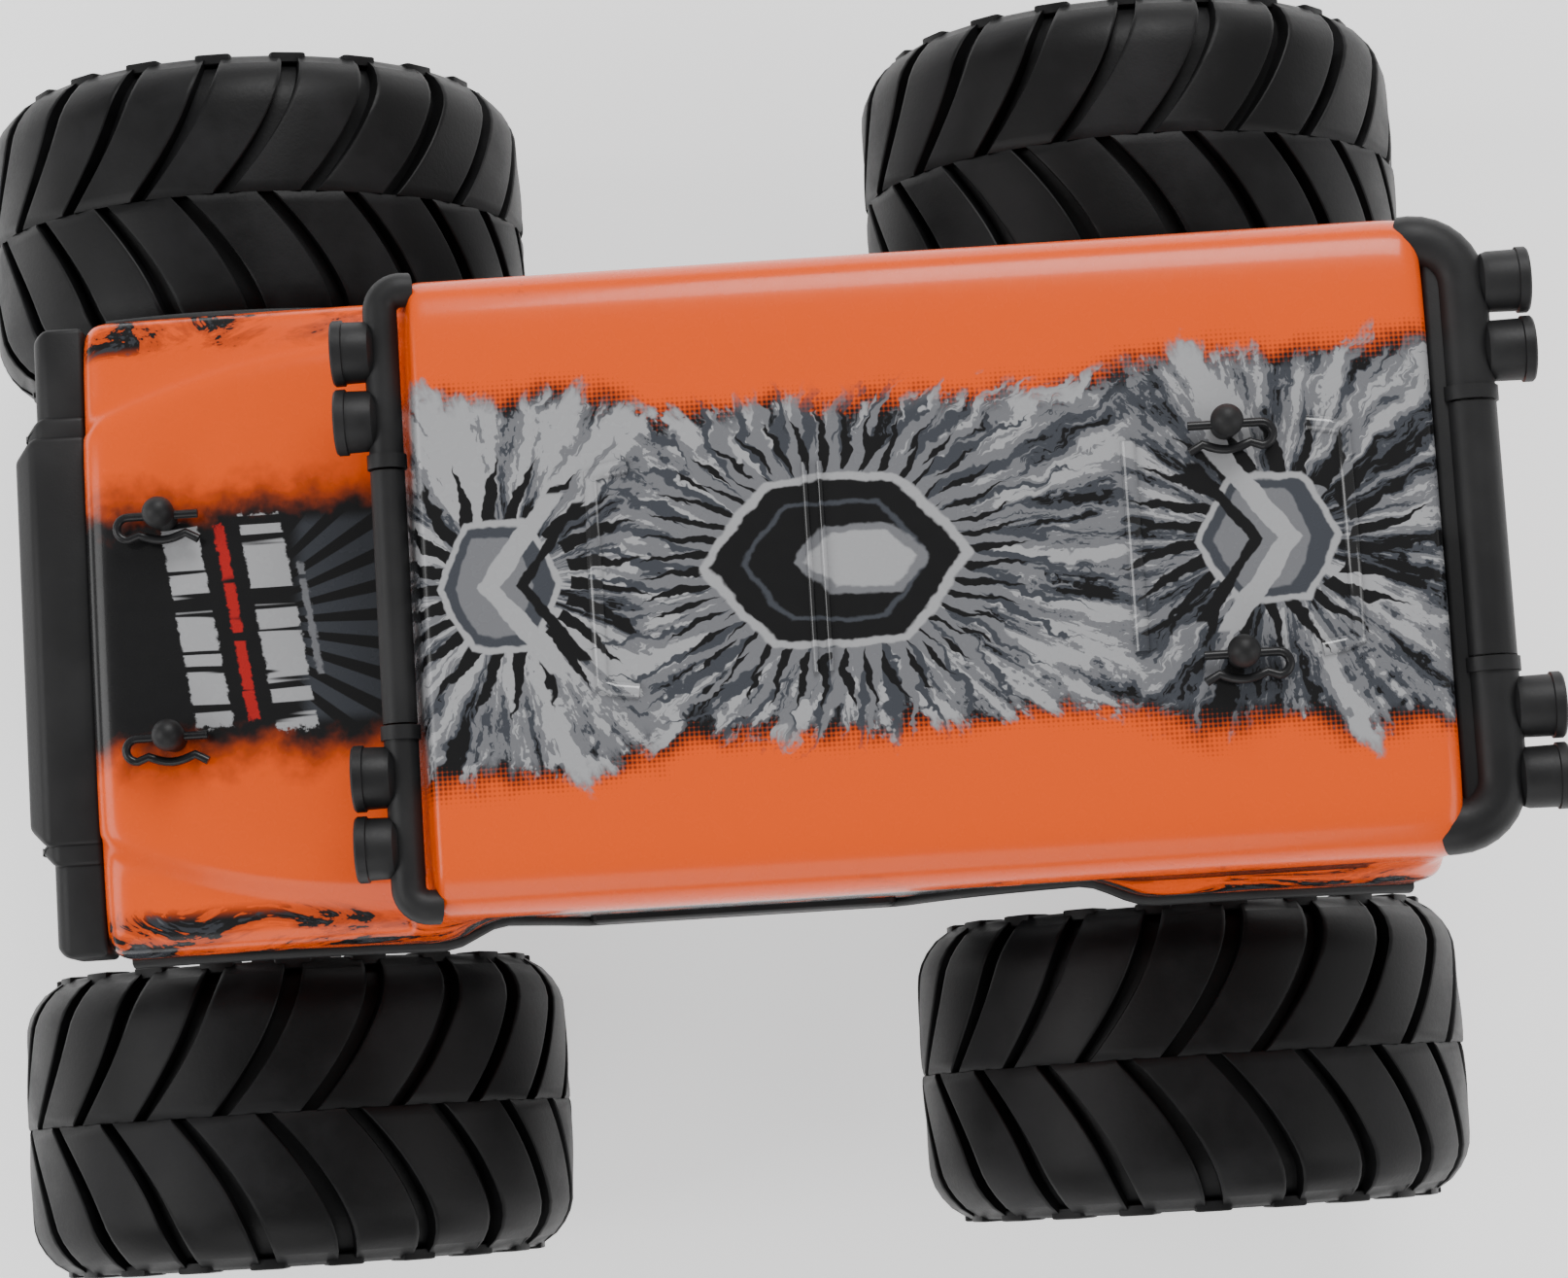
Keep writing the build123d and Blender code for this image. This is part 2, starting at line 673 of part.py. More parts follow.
def build_gearbox():
    """The gearbox case and its side cover, parted through the middle of the gear."""
    body = pivot_block(block_rear_x)
    drive_room = gear_module * (drive_teeth / 2 + 1) + gear_room + case_wall
    pinion_room = gear_module * (pinion_teeth / 2 + 1) + gear_room + case_wall
    y_span = (-block_half, -gear_near_y + side_gap + case_wall)
    housing = rod_y(drive_room, 0, y_span, axle_z) + rod_y(pinion_room, motor_x, y_span, motor_z)
    body += housing & block((-60, tower_x), y_span, (plate_top_z, 2 * axle_z))
    body -= gear_cavity()
    body -= rod_y(axle_radius + running_gap, 0, (-block_half - 1, block_half + 1), axle_z)
    body -= rod_y(motor_shaft_radius + running_gap, motor_x, (y_span[1] - case_wall - 1, 0), motor_z)
    body -= rod_y(motor_radius, motor_x, (motor_near_y, block_half + 1), motor_z)
    parting_y = -gear_near_y - gear_width / 2
    cover_side = block((-60, 60), (-60, parting_y), (plate_top_z + slab_height, 2 * axle_z))
    rear = Pos(rear_axle_x, 0, 0)
    save("gearbox_case", rear * mirror(body - cover_side, about=Plane.YZ))
    save("gearbox_cover", rear * mirror(body & cover_side, about=Plane.YZ))


def build_towers():
    half_foot = block_half - 3
    half_top = shock_top_y + 5
    outline = Polyline(
        (-half_foot, axle_z), (half_foot, axle_z), (half_foot, block_top_z), (half_top, shock_top_z - 8),
        (half_top, shock_top_z + 5), (-half_top, shock_top_z + 5), (-half_top, shock_top_z - 8),
        (-half_foot, block_top_z), (-half_foot, axle_z))
    plate = Plane.YZ.offset(tower_x) * extrude(make_face(outline), tower_thickness)
    for side in (-1, 1):
        plate += rod_x(shock_pin_radius, (shock_x - shock_eye_half - 1, tower_x + 1), side * shock_top_y, shock_top_z)
    window = Plane.YZ.offset(tower_x - 1) * extrude(
        Pos(0, block_top_z + 16) * RectangleRounded(18, 16, 3), tower_thickness + 2)
    plate -= window
    save("shock_towers", Pos(front_axle_x, 0, 0) * plate, Pos(rear_axle_x, 0, 0) * mirror(plate, about=Plane.YZ))


def build_pins():
    """The inner hinge pins of the arms and links."""
    reach = arm_inner_half + side_gap + ear_thickness
    pins = []
    for corner in corners:
        pins.append(place(rod_x(pin_radius, (-reach, reach), inner_pivot_y, lower_pivot_z), corner))
        pins.append(place(link_pin(inner_pivot_y, lower_pivot_z + pivot_rise), corner))
    save("suspension_pins", *pins)


def build_plate():
    front_end = front_axle_x + tower_x
    rear_end = rear_axle_x - tower_x
    mid = plate_mid_half_length
    outline = Polyline(
        (rear_end, -plate_half_end), (centre_shift - mid - 18, -plate_half_end),
        (centre_shift - mid, -plate_half_mid), (centre_shift + mid, -plate_half_mid),
        (centre_shift + mid + 18, -plate_half_end), (front_end, -plate_half_end),
        (front_end, plate_half_end), (centre_shift + mid + 18, plate_half_end),
        (centre_shift + mid, plate_half_mid), (centre_shift - mid, plate_half_mid),
        (centre_shift - mid - 18, plate_half_end), (rear_end, plate_half_end),
        (rear_end, -plate_half_end))
    plate = Pos(0, 0, plate_bottom_z) * extrude(make_face(outline), plate_thickness)
    for side in (-1, 1):
        rail_y = sorted((side * plate_half_mid, side * (plate_half_mid - plate_rail)))
        plate += block((centre_shift - mid, centre_shift + mid), rail_y, (plate_bottom_z, plate_top_z + plate_rail_height))
    save("chassis_plate", plate)


def build_motor():
    can = rod_y(motor_radius, motor_x, (motor_near_y, motor_near_y + motor_length - motor_bell), motor_z)
    bell = rod_y(motor_radius - 0.6, motor_x, (motor_near_y + motor_length - motor_bell - 0.5,
                                                motor_near_y + motor_length), motor_z)
    bore = rod_y(motor_shaft_radius + running_gap, motor_x, (motor_near_y - 1, motor_near_y + 7), motor_z)
    save("motor", Pos(rear_axle_x, 0, 0) * mirror(can + bell - bore, about=Plane.YZ))


def gear_outline(teeth):
    """Involute spur gear outline, with a tooth centred on the X axis."""
    pitch_radius = gear_module * teeth / 2
    base_radius = pitch_radius * math.cos(math.radians(pressure_angle))
    tip_radius = pitch_radius + gear_module
    root_radius = pitch_radius - 1.25 * gear_module
    start_radius = max(base_radius, root_radius)
    at_pitch = math.tan(math.radians(pressure_angle)) - math.radians(pressure_angle)
    half_pitch = math.pi / (2 * teeth) - gear_backlash / (2 * pitch_radius)
    flank = []
    steps = 5
    for index in range(steps + 1):
        radius = start_radius + (tip_radius - start_radius) * index / steps
        roll = math.acos(base_radius / radius)
        angle = half_pitch + at_pitch - (math.tan(roll) - roll)
        flank.append((radius, angle))
    if start_radius > root_radius:
        flank.insert(0, (root_radius, flank[0][1]))
    tooth = [(radius, -angle) for radius, angle in flank]
    tooth += [(radius, angle) for radius, angle in reversed(flank)]
    points = []
    for index in range(teeth):
        turn = 2 * math.pi * index / teeth
        points += [(radius * math.cos(turn + angle), radius * math.sin(turn + angle)) for radius, angle in tooth]
    return make_face(Polyline(*points, points[0]))


def build_gears():
    """The drive gear with its shaft and cups, and the motor pinion with its shaft."""
    gear_far_y = gear_near_y + gear_width
    mesh_turn = 180 + mesh_angle
    drive = Pos(0, -gear_far_y, axle_z) * Rot(X=-90) * Rot(Z=mesh_turn) * extrude(
        gear_outline(drive_teeth), gear_width)
    drive += rod_y(axle_radius, 0, (-cup_inner_y - 1, cup_inner_y + 1), axle_z)
    for side in (-1, 1):
        span = sorted((side * cup_inner_y, side * (cup_inner_y + cup_length)))
        bore = sorted((side * (cup_inner_y + cup_floor), side * (cup_inner_y + cup_length + 1)))
        drive += rod_y(cup_radius, 0, span, axle_z)
        drive -= rod_y(cup_bore_radius, 0, bore, axle_z)
    pinion_turn = mesh_turn + 180 + 180 / pinion_teeth
    pinion = Pos(motor_x, -gear_far_y, motor_z) * Rot(X=-90) * Rot(Z=pinion_turn) * extrude(
        gear_outline(pinion_teeth), gear_width)
    pinion += rod_y(motor_shaft_radius, motor_x, (-gear_far_y, motor_near_y + 6), motor_z)
    rear = Pos(rear_axle_x, 0, 0)
    save("drive_gear", rear * mirror(drive, about=Plane.YZ))
    save("motor_pinion", rear * mirror(pinion, about=Plane.YZ))


def build_steering():
    """Servo, horn and rack, built with the front axle at X = 0."""
    shaft_x = -2 * steer_arm
    rack_top = rack_z + rack_half_height
    horn_bottom = rack_top + horn_gap
    front = Pos(front_axle_x, 0, 0)
    servo_front = shaft_x + servo_shaft_inset
    servo_top = plate_top_z + servo_height
    servo = block((servo_front - servo_length, servo_front), (-servo_half, servo_half), (plate_top_z, servo_top))
    servo += block((servo_front - servo_length - servo_lug, servo_front + servo_lug),
                   (-servo_half, servo_half),
                   (servo_top - servo_lug_drop, servo_top - servo_lug_drop + servo_lug_thickness))
    servo += rod_z(servo_shaft_radius, shaft_x, 0, (servo_top - 1, horn_bottom))
    save("steering_servo", front * servo)
    horn = block((shaft_x, -steer_arm), (-horn_half, horn_half), (horn_bottom, horn_bottom + horn_thickness))
    horn += rod_z(horn_half, -steer_arm, 0, (horn_bottom, horn_bottom + horn_thickness))
    horn += rod_z(horn_half + 1.5, shaft_x, 0, (horn_bottom, horn_bottom + horn_thickness))
    horn += rod_z(peg_radius, -steer_arm, 0, (rack_z - 1, horn_bottom + 1))
    save("servo_horn", front * horn)
    beam_end = tie_inner_y - tie_barrel_radius - side_gap
    ear_end = tie_inner_y + tie_barrel_radius
    rack_x = (-steer_arm - rack_half_x, -steer_arm + rack_half_x)
    rack_levels = (rack_z - rack_half_height, rack_top)
    rack = block(rack_x, (-beam_end, beam_end), rack_levels)
    for side in (-1, 1):
        ear_y = sorted((side * (beam_end - 1), side * ear_end))
        for end in (-1, 1):
            ear_x = sorted((-steer_arm + end * rack_half_x, -steer_arm + end * (rack_half_x - rack_ear)))
            rack += block(ear_x, ear_y, rack_levels)
        rack += rod_x(tie_pin_radius, rack_x, side * tie_inner_y, rack_z)
    slot_half = peg_radius + steer_arm * (1 - math.cos(math.radians(rack_slot_angle))) + peg_gap
    rack -= block((-steer_arm - slot_half, -steer_arm + peg_radius + peg_gap),
                  (-peg_radius - peg_gap, peg_radius + peg_gap), (rack_z - 10, rack_z + 10))
    save("steering_rack", front * rack)


def build_electronics():
    length, width, height = battery_size
    floor = plate_top_z
    middle = centre_shift - battery_setback
    battery = block((middle - length / 2, middle + length / 2), (-width - pack_gap, -pack_gap), (floor, floor + height))
    battery = fillet(battery.edges().filter_by(Axis.X), pack_round)
    save("battery_pack", battery)
    length, width, height = controller_size
    controller = block((centre_shift - length / 2, centre_shift + length / 2), (pack_gap, pack_gap + width),
                       (floor, floor + height))
    for index in range(fin_count):
        fin_x = centre_shift + (index - (fin_count - 1) / 2) * fin_pitch
        controller += block((fin_x - fin_width / 2, fin_x + fin_width / 2), (2 * pack_gap, width),
                            (floor + height - 1, floor + height + fin_height))
    save("speed_controller", controller)


# Body shell and what it carries

def body_form(inset):
    """The closed outer form of the body, or the form of its inside when inset by the wall."""
    floor = skirt_z - 2 * inset
    side = fender_half - inset
    lower = block((tail_x + inset, nose_x - inset), (-side, side), (floor, hood_z - inset))
    lower = fillet(lower.edges().filter_by(Axis.Z), corner_round - inset)
    lower = fillet(lower.faces().sort_by(Axis.Z)[-1].edges(), hood_round - inset / 2)
    cab_floor = hood_z - cab_sink
    top_z = roof_z - inset
    foot = Pos((tail_x + windshield_base_x) / 2, 0, cab_floor) * RectangleRounded(
        windshield_base_x - tail_x - 2 * inset, 2 * side, corner_round - inset)
    crown = Pos((tail_x + windshield_top_x) / 2, 0, top_z) * RectangleRounded(
        windshield_top_x - tail_x - 2 * inset, 2 * (roof_half - inset), corner_round - inset)
    cab = loft([foot.face(), crown.face()])
    cab = fillet(cab.faces().sort_by(Axis.Z)[-1].edges(), roof_round - inset)
    return lower + cab


def build_shell():
    shell = body_form(0) - body_form(shell_wall)
    for axle_x, radius in ((wheelbase / 2, front_arch_radius), (-wheelbase / 2, rear_arch_radius)):
        for side in (-1, 1):
            y_span = sorted((side * arch_inner_y, side * (fender_half + 10)))
            shell -= rod_y(radius, axle_x, y_span, axle_z + arch_lift)
    hood_start = windshield_base_x + hood_panel_start
    hood_end = nose_x - hood_panel_setback
    hood_pad = RectangleRounded(hood_end - hood_start, 2 * hood_panel_half, panel_round)
    shell += Pos((hood_end + hood_start) / 2, 0, hood_z) * extrude(hood_pad, hood_panel_rise)
    for start, end in roof_pad_spans:
        pad = RectangleRounded(end - start, 2 * roof_pad_half, panel_round)
        shell += Pos((start + end) / 2, 0, roof_z) * extrude(pad, roof_pad_rise)
    for x in (front_post_x, rear_post_x):
        for side in (-1, 1):
            shell -= rod_z(post_neck_radius + post_hole_gap, x, side * post_y, (hood_z - 20, roof_z + 20))
    save("body_shell", Pos(centre_shift, 0, 0) * shell)


def build_guard():
    """The black nose guard in front of the hood."""
    middle = block((nose_x, nose_x + guard_reach), (-guard_half, guard_half), (guard_bottom_z, guard_top_z))
    middle = chamfer(middle.faces().sort_by(Axis.X)[-1].edges(), guard_bevel)
    wings = block((nose_x, nose_x + guard_wing_reach), (-guard_wing_half, guard_wing_half),
                  (guard_wing_bottom_z, guard_top_z - 2))
    wings = chamfer(wings.faces().sort_by(Axis.X)[-1].edges(), guard_wing_bevel)
    guard = middle + wings
    for index in range(guard_slot_count):
        level = guard_bottom_z + guard_slot_edge + index * guard_slot_pitch
        guard -= block((nose_x + guard_reach - guard_slot_depth, nose_x + guard_reach + 1),
                       (-guard_half + guard_slot_edge, guard_half - guard_slot_edge),
                       (level, level + guard_slot_height))
    save("grille_guard", Pos(centre_shift, 0, 0) * guard)


def lamp(x_start, length, facing, y, z):
    """A round lamp housing with a recess for its lens, and the lens."""
    x_end = x_start + facing * (length + lamp_sink)
    housing = rod_x(lamp_radius, sorted((x_start, x_end)), y, z)
    recess = lens_recess + lens_thickness
    housing -= rod_x(lamp_radius - lens_rim, sorted((x_end - facing * recess, x_end + facing)), y, z)
    lens = rod_x(lamp_radius - lens_rim, sorted((x_end - facing * recess, x_end - facing * lens_recess)), y, z)
    return housing, lens


def build_light_bars():
    """Each bar is a middle piece and two end pieces; the end pieces carry the lamps and meet the shell."""
    bars = []
    lenses = []
    slope = (windshield_base_x - windshield_top_x) / (roof_z - hood_z + cab_sink)
    wall_x = windshield_top_x + (roof_z - front_bar_z + front_bar_radius) * slope
    front_x = wall_x + bar_standoff + front_bar_radius
    rear_x = tail_x - rear_bar_standoff - rear_bar_radius
    shell_form = body_form(0)
    settings = (
        (front_x, 1, front_bar_z, front_bar_radius, front_bar_end_y, front_lamp_length),
        (rear_x, -1, rear_bar_z, rear_bar_radius, rear_bar_end_y, rear_lamp_length),
    )
    for bar_x, facing, z, radius, end_y, lamp_length in settings:
        bars.append(rod_y(radius, bar_x, (-bar_split_y, bar_split_y), z))
        for side in (-1, 1):
            start_y = side * (bar_split_y + bar_gap)
            if facing > 0:
                segment = rod_y(radius, bar_x, sorted((start_y, side * end_y)), z)
                lug_y = (side * bar_lug_y - bar_lug_half, side * bar_lug_y + bar_lug_half)
                lug_z = (z - radius, z - radius + bar_lug_height)
                segment += block((wall_x - bar_lug_height, bar_x), lug_y, lug_z) - shell_form
            else:
                path = ((bar_x, start_y, z), (bar_x, side * end_y, z), (tail_x, side * end_y, z))
                segment = tube_path(radius, path, bar_bend_radius)
            for lamp_y in lamp_rows_y:
                housing, lens = lamp(bar_x + facing * (radius - lamp_sink), lamp_length, facing, side * lamp_y, z)
                segment += housing
                lenses.append(lens)
            bars.append(segment)
    shift = Pos(centre_shift, 0, 0)
    save("roof_light_bars", *[shift * bar for bar in bars])
    save("lamp_lenses", *[shift * lens for lens in lenses])


def post_tops():
    """Each body post's place, with the height of the surface it passes through and its tower side."""
    for side in (-1, 1):
        yield front_post_x, side * post_y, hood_z + hood_panel_rise, wheelbase / 2 + tower_x
        yield rear_post_x, side * post_y, roof_z, -wheelbase / 2 - tower_x


def build_posts_and_clips():
    posts = []
    clips = []
    for x, y, surface_z, tower_face in post_tops():
        clip_z = surface_z + clip_height
        shoulder_z = surface_z - shell_wall - hood_panel_rise - 0.5
        ball_z = surface_z + post_above
        post = rod_z(post_radius, x, y, (post_foot_z, shoulder_z))
        post += rod_z(post_neck_radius, x, y, (shoulder_z - 1, ball_z))
        post += Pos(x, y, ball_z) * Sphere(post_ball_radius)
        post += block(sorted((x, tower_face)), (y - post_radius + 0.6, y + post_radius - 0.6),
                      (post_foot_z, post_foot_z + post_foot_height))
        post -= rod_x(clip_wire_radius + 0.1, (x - 10, x + 10), y, clip_z)
        posts.append(post)
        away = math.copysign(1, x)
        path = ((x - away * clip_tail, y, clip_z), (x + away * clip_leg, y, clip_z),
                (x + away * clip_leg, y + clip_spread, clip_z), (x - away * 2, y + clip_spread, clip_z))
        clips.append(tube_path(clip_wire_radius, path, clip_bend))
    shift = Pos(centre_shift, 0, 0)
    save("body_posts", *[shift * post for post in posts])
    save("body_clips", *[shift * clip for clip in clips])


os.makedirs("parts", exist_ok=True)
build_wheels()
build_corners()
build_front_bulkhead()
build_gearbox()
build_towers()
build_pins()
build_plate()
build_motor()
build_gears()
build_steering()
build_electronics()
build_shell()
build_guard()
build_light_bars()
build_posts_and_clips()
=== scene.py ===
import bpy
import bmesh
import json
import math
from mathutils import Matrix, Vector


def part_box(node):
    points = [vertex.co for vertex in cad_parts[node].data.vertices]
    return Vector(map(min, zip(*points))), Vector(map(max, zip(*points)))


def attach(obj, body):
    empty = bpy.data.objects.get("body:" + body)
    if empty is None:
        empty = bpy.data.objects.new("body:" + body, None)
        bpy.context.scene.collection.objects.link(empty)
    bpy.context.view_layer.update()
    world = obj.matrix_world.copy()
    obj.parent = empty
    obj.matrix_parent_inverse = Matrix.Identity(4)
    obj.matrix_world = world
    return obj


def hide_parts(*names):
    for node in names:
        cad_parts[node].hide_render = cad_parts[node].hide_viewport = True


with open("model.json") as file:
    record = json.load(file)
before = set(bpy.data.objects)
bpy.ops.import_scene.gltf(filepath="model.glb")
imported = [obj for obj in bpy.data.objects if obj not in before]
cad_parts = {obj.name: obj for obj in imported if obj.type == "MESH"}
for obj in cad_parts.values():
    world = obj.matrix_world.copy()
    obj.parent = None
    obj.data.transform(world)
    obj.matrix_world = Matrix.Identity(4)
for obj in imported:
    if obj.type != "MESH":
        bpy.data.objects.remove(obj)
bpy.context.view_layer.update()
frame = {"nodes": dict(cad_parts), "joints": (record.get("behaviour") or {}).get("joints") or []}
nodes = frame["nodes"]
mm = 0.001

weld = {"piece": 0.01, "lathe": 0.005, "skin": 0.02}  # how near points merge, in millimetres


# lowest and highest corner of a CAD node, in millimetres
def corners(node):
    return [[v / mm for v in corner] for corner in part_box(node)]


# lengths along the truck are counted from the middle of the wheelbase, in millimetres
frontTyre = [(a + b) / 2 for a, b in zip(*corners("fl_tyre"))]
rearTyre = [(a + b) / 2 for a, b in zip(*corners("rl_tyre"))]
midX = (frontTyre[0] + rearTyre[0]) / 2
axleHalf = (frontTyre[0] - rearTyre[0]) / 2
axleHeight = frontTyre[2]
shellLow, shellHigh = corners("body_shell")
noseX = shellHigh[0] - midX
tailX = shellLow[0] - midX
print("frame loaded, middle of the wheelbase at", round(midX, 2))


# ends a piece: merges, points its faces out and hands it to its body
def finish(bm, name, material, body, replaced=(), smoothAngle=35):
    bmesh.ops.remove_doubles(bm, verts=bm.verts, dist=weld["piece"] * mm)
    bmesh.ops.recalc_face_normals(bm, faces=bm.faces)
    mesh = bpy.data.meshes.new(name)
    bm.to_mesh(mesh)
    bm.free()
    return place(mesh, name, material, body, replaced, smoothAngle)


def place(mesh, name, material, body, replaced=(), smoothAngle=35):
    piece = bpy.data.objects.new(name, mesh)
    bpy.context.scene.collection.objects.link(piece)
    mesh.materials.clear()
    mesh.materials.append(material)
    for face in mesh.polygons:
        face.use_smooth = True
    mesh.set_sharp_from_angle(angle=math.radians(smoothAngle))
    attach(piece, body)
    if replaced:
        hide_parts(*replaced)
    return piece


def shift(bm, x=0, y=0, z=0):
    bmesh.ops.translate(bm, verts=bm.verts, vec=(x, y, z))


def softEdges(bm, edges, width, segments=3):
    bmesh.ops.bevel(bm, geom=list(edges), offset=width, segments=segments, profile=0.5,
                    affect="EDGES", material=-1)


# a sharp block between limits in millimetres
def block(xSpan, ySpan, zSpan):
    bm = bmesh.new()
    bmesh.ops.create_cube(bm, size=1)
    bmesh.ops.scale(bm, verts=bm.verts, vec=[(b - a) * mm for a, b in (xSpan, ySpan, zSpan)])
    middle = [(a + b) / 2 for a, b in (xSpan, ySpan, zSpan)]
    shift(bm, (middle[0] + midX) * mm, middle[1] * mm, middle[2] * mm)
    return bm


# a block with rounded edges
def softBlock(xSpan, ySpan, zSpan, edge, segments=3):
    bm = block(xSpan, ySpan, zSpan)
    softEdges(bm, bm.edges, edge * mm, segments)
    return bm


# spins an outline of (along, radius) pairs in millimetres round an axis through the origin
def lathe(profile, steps, axis="Y"):
    bm = bmesh.new()
    last = None
    for along, radius in profile:
        spot = (radius, along, 0) if axis == "Y" else (along, radius, 0)
        vert = bm.verts.new([v * mm for v in spot])
        if last:
            bm.edges.new((last, vert))
        last = vert
    spinAxis = (0, 1, 0) if axis == "Y" else (1, 0, 0)
    bmesh.ops.spin(bm, geom=bm.verts[:] + bm.edges[:], cent=(0, 0, 0), axis=spinAxis,
                   angle=math.tau, steps=steps, use_merge=True)
    bmesh.ops.remove_doubles(bm, verts=bm.verts, dist=weld["lathe"] * mm)
    return bm


# adds one bmesh to another
def join(target, other):
    mesh = bpy.data.meshes.new("part")
    other.to_mesh(mesh)
    other.free()
    target.from_mesh(mesh)
    bpy.data.meshes.remove(mesh)


# a round bar along points in millimetres, as a mesh
def barFrom(points, radius, resolution):
    curve = bpy.data.curves.new("bar", "CURVE")
    curve.dimensions = "3D"
    curve.bevel_depth = radius * mm
    curve.bevel_resolution = resolution
    curve.use_fill_caps = True
    spline = curve.splines.new("POLY")
    spline.points.add(len(points) - 1)
    for point, where in zip(spline.points, points):
        point.co = ((where[0] + midX) * mm, where[1] * mm, where[2] * mm, 1)
    holder = bpy.data.objects.new("bar", curve)
    mesh = bpy.data.meshes.new_from_object(holder)
    bpy.data.objects.remove(holder)
    bm = bmesh.new()
    bm.from_mesh(mesh)
    bpy.data.meshes.remove(mesh)
    return bm


# a socket whose maths is written as plain expressions
class Value:
    def __init__(self, paint, socket):
        self.paint = paint
        self.socket = socket

    def math(self, operation, *others, clamp=False):
        inputs = dict(enumerate((self, *others)))
        return self.paint.node("ShaderNodeMath", {"operation": operation, "use_clamp": clamp}, inputs)

    def reflected(self, operation, other):
        return self.paint.node("ShaderNodeMath", {"operation": operation}, {0: other, 1: self})

    def __add__(self, other):
        return self.math("ADD", other)

    def __sub__(self, other):
        return self.math("SUBTRACT", other)

    def __mul__(self, other):
        return self.math("MULTIPLY", other)

    def __truediv__(self, other):
        return self.math("DIVIDE", other)

    def __radd__(self, other):
        return self.reflected("ADD", other)

    def __rsub__(self, other):
        return self.reflected("SUBTRACT", other)

    def __rmul__(self, other):
        return self.reflected("MULTIPLY", other)

    def __rtruediv__(self, other):
        return self.reflected("DIVIDE", other)

    def __abs__(self):
        return self.math("ABSOLUTE")


# one node material
class Paint:
    def __init__(self, name, **fixed):
        self.material = bpy.data.materials.new(name)
        self.material.use_nodes = True
        self.tree = self.material.node_tree
        self.skin = self.tree.nodes["Principled BSDF"]
        for key, value in fixed.items():
            self.skin.inputs[key.replace("_", " ")].default_value = value

    def node(self, kind, settings=None, inputs=None, out=0):
        made = self.tree.nodes.new(kind)
        for key, value in (settings or {}).items():
            if key == "stops":
                for index, (where, colour) in enumerate(value):
                    if index < 2:
                        stop = made.color_ramp.elements[index]
                        stop.position = where
                    else:
                        stop = made.color_ramp.elements.new(where)
                    stop.color = (*colour, 1)
            else:
                setattr(made, key, value)
        for key, value in (inputs or {}).items():
            self.put(value, made.inputs[key])
        return Value(self, made.outputs[out])

    def put(self, value, socket):
        if isinstance(value, Value):
            self.tree.links.new(value.socket, socket)
        else:
            socket.default_value = value

    def set(self, name, value):
        self.put(value, self.skin.inputs[name])

    # the object's own place in millimetres, as a vector and as its three numbers
    def place(self):
        raw = self.node("ShaderNodeTexCoord", out=3)
        moved = self.node("ShaderNodeMapping", {"vector_type": "POINT"},
                          {"Vector": raw, "Location": (-midX, 0, 0), "Scale": (1000, 1000, 1000)})
        split = self.node("ShaderNodeSeparateXYZ", None, {0: moved})
        parts = [Value(self, split.socket.node.outputs[i]) for i in range(3)]
        return moved, parts

    def noise(self, vector, scale, detail=3, rough=0.5, warp=0):
        return self.node("ShaderNodeTexNoise", None, {"Vector": vector, "Scale": scale, "Detail": detail,
                                                      "Roughness": rough, "Distortion": warp})

    # 0 below the low value, 1 above the high one, and a soft edge between
    def step(self, value, low, high):
        return self.node("ShaderNodeMapRange", {"interpolation_type": "SMOOTHSTEP"},
                         {"Value": value, "From Min": low, "From Max": high})

    def mix(self, mask, first, second):
        first, second = [tone if isinstance(tone, Value) else (*tone, 1) for tone in (first, second)]
        return self.node("ShaderNodeMix", {"data_type": "RGBA"}, {0: mask, 6: first, 7: second}, out=2)

    def bump(self, height, strength, distance):
        self.set("Normal", self.node("ShaderNodeBump", None, {"Height": height, "Strength": strength,
                                                              "Distance": distance}))


# moulded plastic with a fine grain and faint handling marks
def mouldedPlastic(name, colour, rough=0.5, grain=1.0, tint=0.25):
    paint = Paint(name, Specular_IOR_Level=0.3)
    where, _ = paint.place()
    cloud = paint.noise(where, 0.05, 4)
    fine = paint.noise(where, 1.6, 3, 0.6)
    lighter = [min(1, c * (1 + tint) + 0.006) for c in colour]
    paint.set("Base Color", paint.mix(paint.step(cloud, 0.35, 0.7), colour, lighter))
    paint.set("Roughness", rough + (cloud - 0.5) * 0.25 + (fine - 0.5) * 0.12)
    paint.bump(fine, 0.25 * grain, 0.00012)
    return paint.material


# turned or drawn metal with fine brushing
def bareMetal(name, colour, rough=0.3):
    paint = Paint(name, Metallic=1.0)
    where, _ = paint.place()
    stretched = paint.node("ShaderNodeMapping", None, {"Vector": where, "Scale": (0.4, 3.0, 3.0)})
    brushed = paint.noise(stretched, 1.5, 4, 0.7)
    smudge = paint.noise(where, 0.08, 3)
    dark = [c * 0.75 for c in colour]
    paint.set("Base Color", paint.mix(paint.step(smudge, 0.3, 0.7), dark, colour))
    paint.set("Roughness", rough + (brushed - 0.5) * 0.2 + (smudge - 0.5) * 0.15)
    paint.bump(brushed, 0.15, 0.00005)
    return paint.material


rubberLook = {"clean": (0.0042, 0.0042, 0.0045), "dusty": (0.0115, 0.0115, 0.0125), "roughness": 0.46}


def tyreRubber():
    paint = Paint("tyre_rubber", Specular_IOR_Level=0.22)
    where, _ = paint.place()
    dust = paint.noise(where, 0.045, 5, 0.62)
    fine = paint.noise(where, 1.2, 4, 0.65)
    patch = paint.step(dust, 0.42, 0.72)
    paint.set("Base Color", paint.mix(patch, rubberLook["clean"], rubberLook["dusty"]))
    paint.set("Roughness", rubberLook["roughness"] + patch * 0.12 + (fine - 0.5) * 0.12)
    paint.bump(fine, 0.22, 0.00018)
    return paint.material


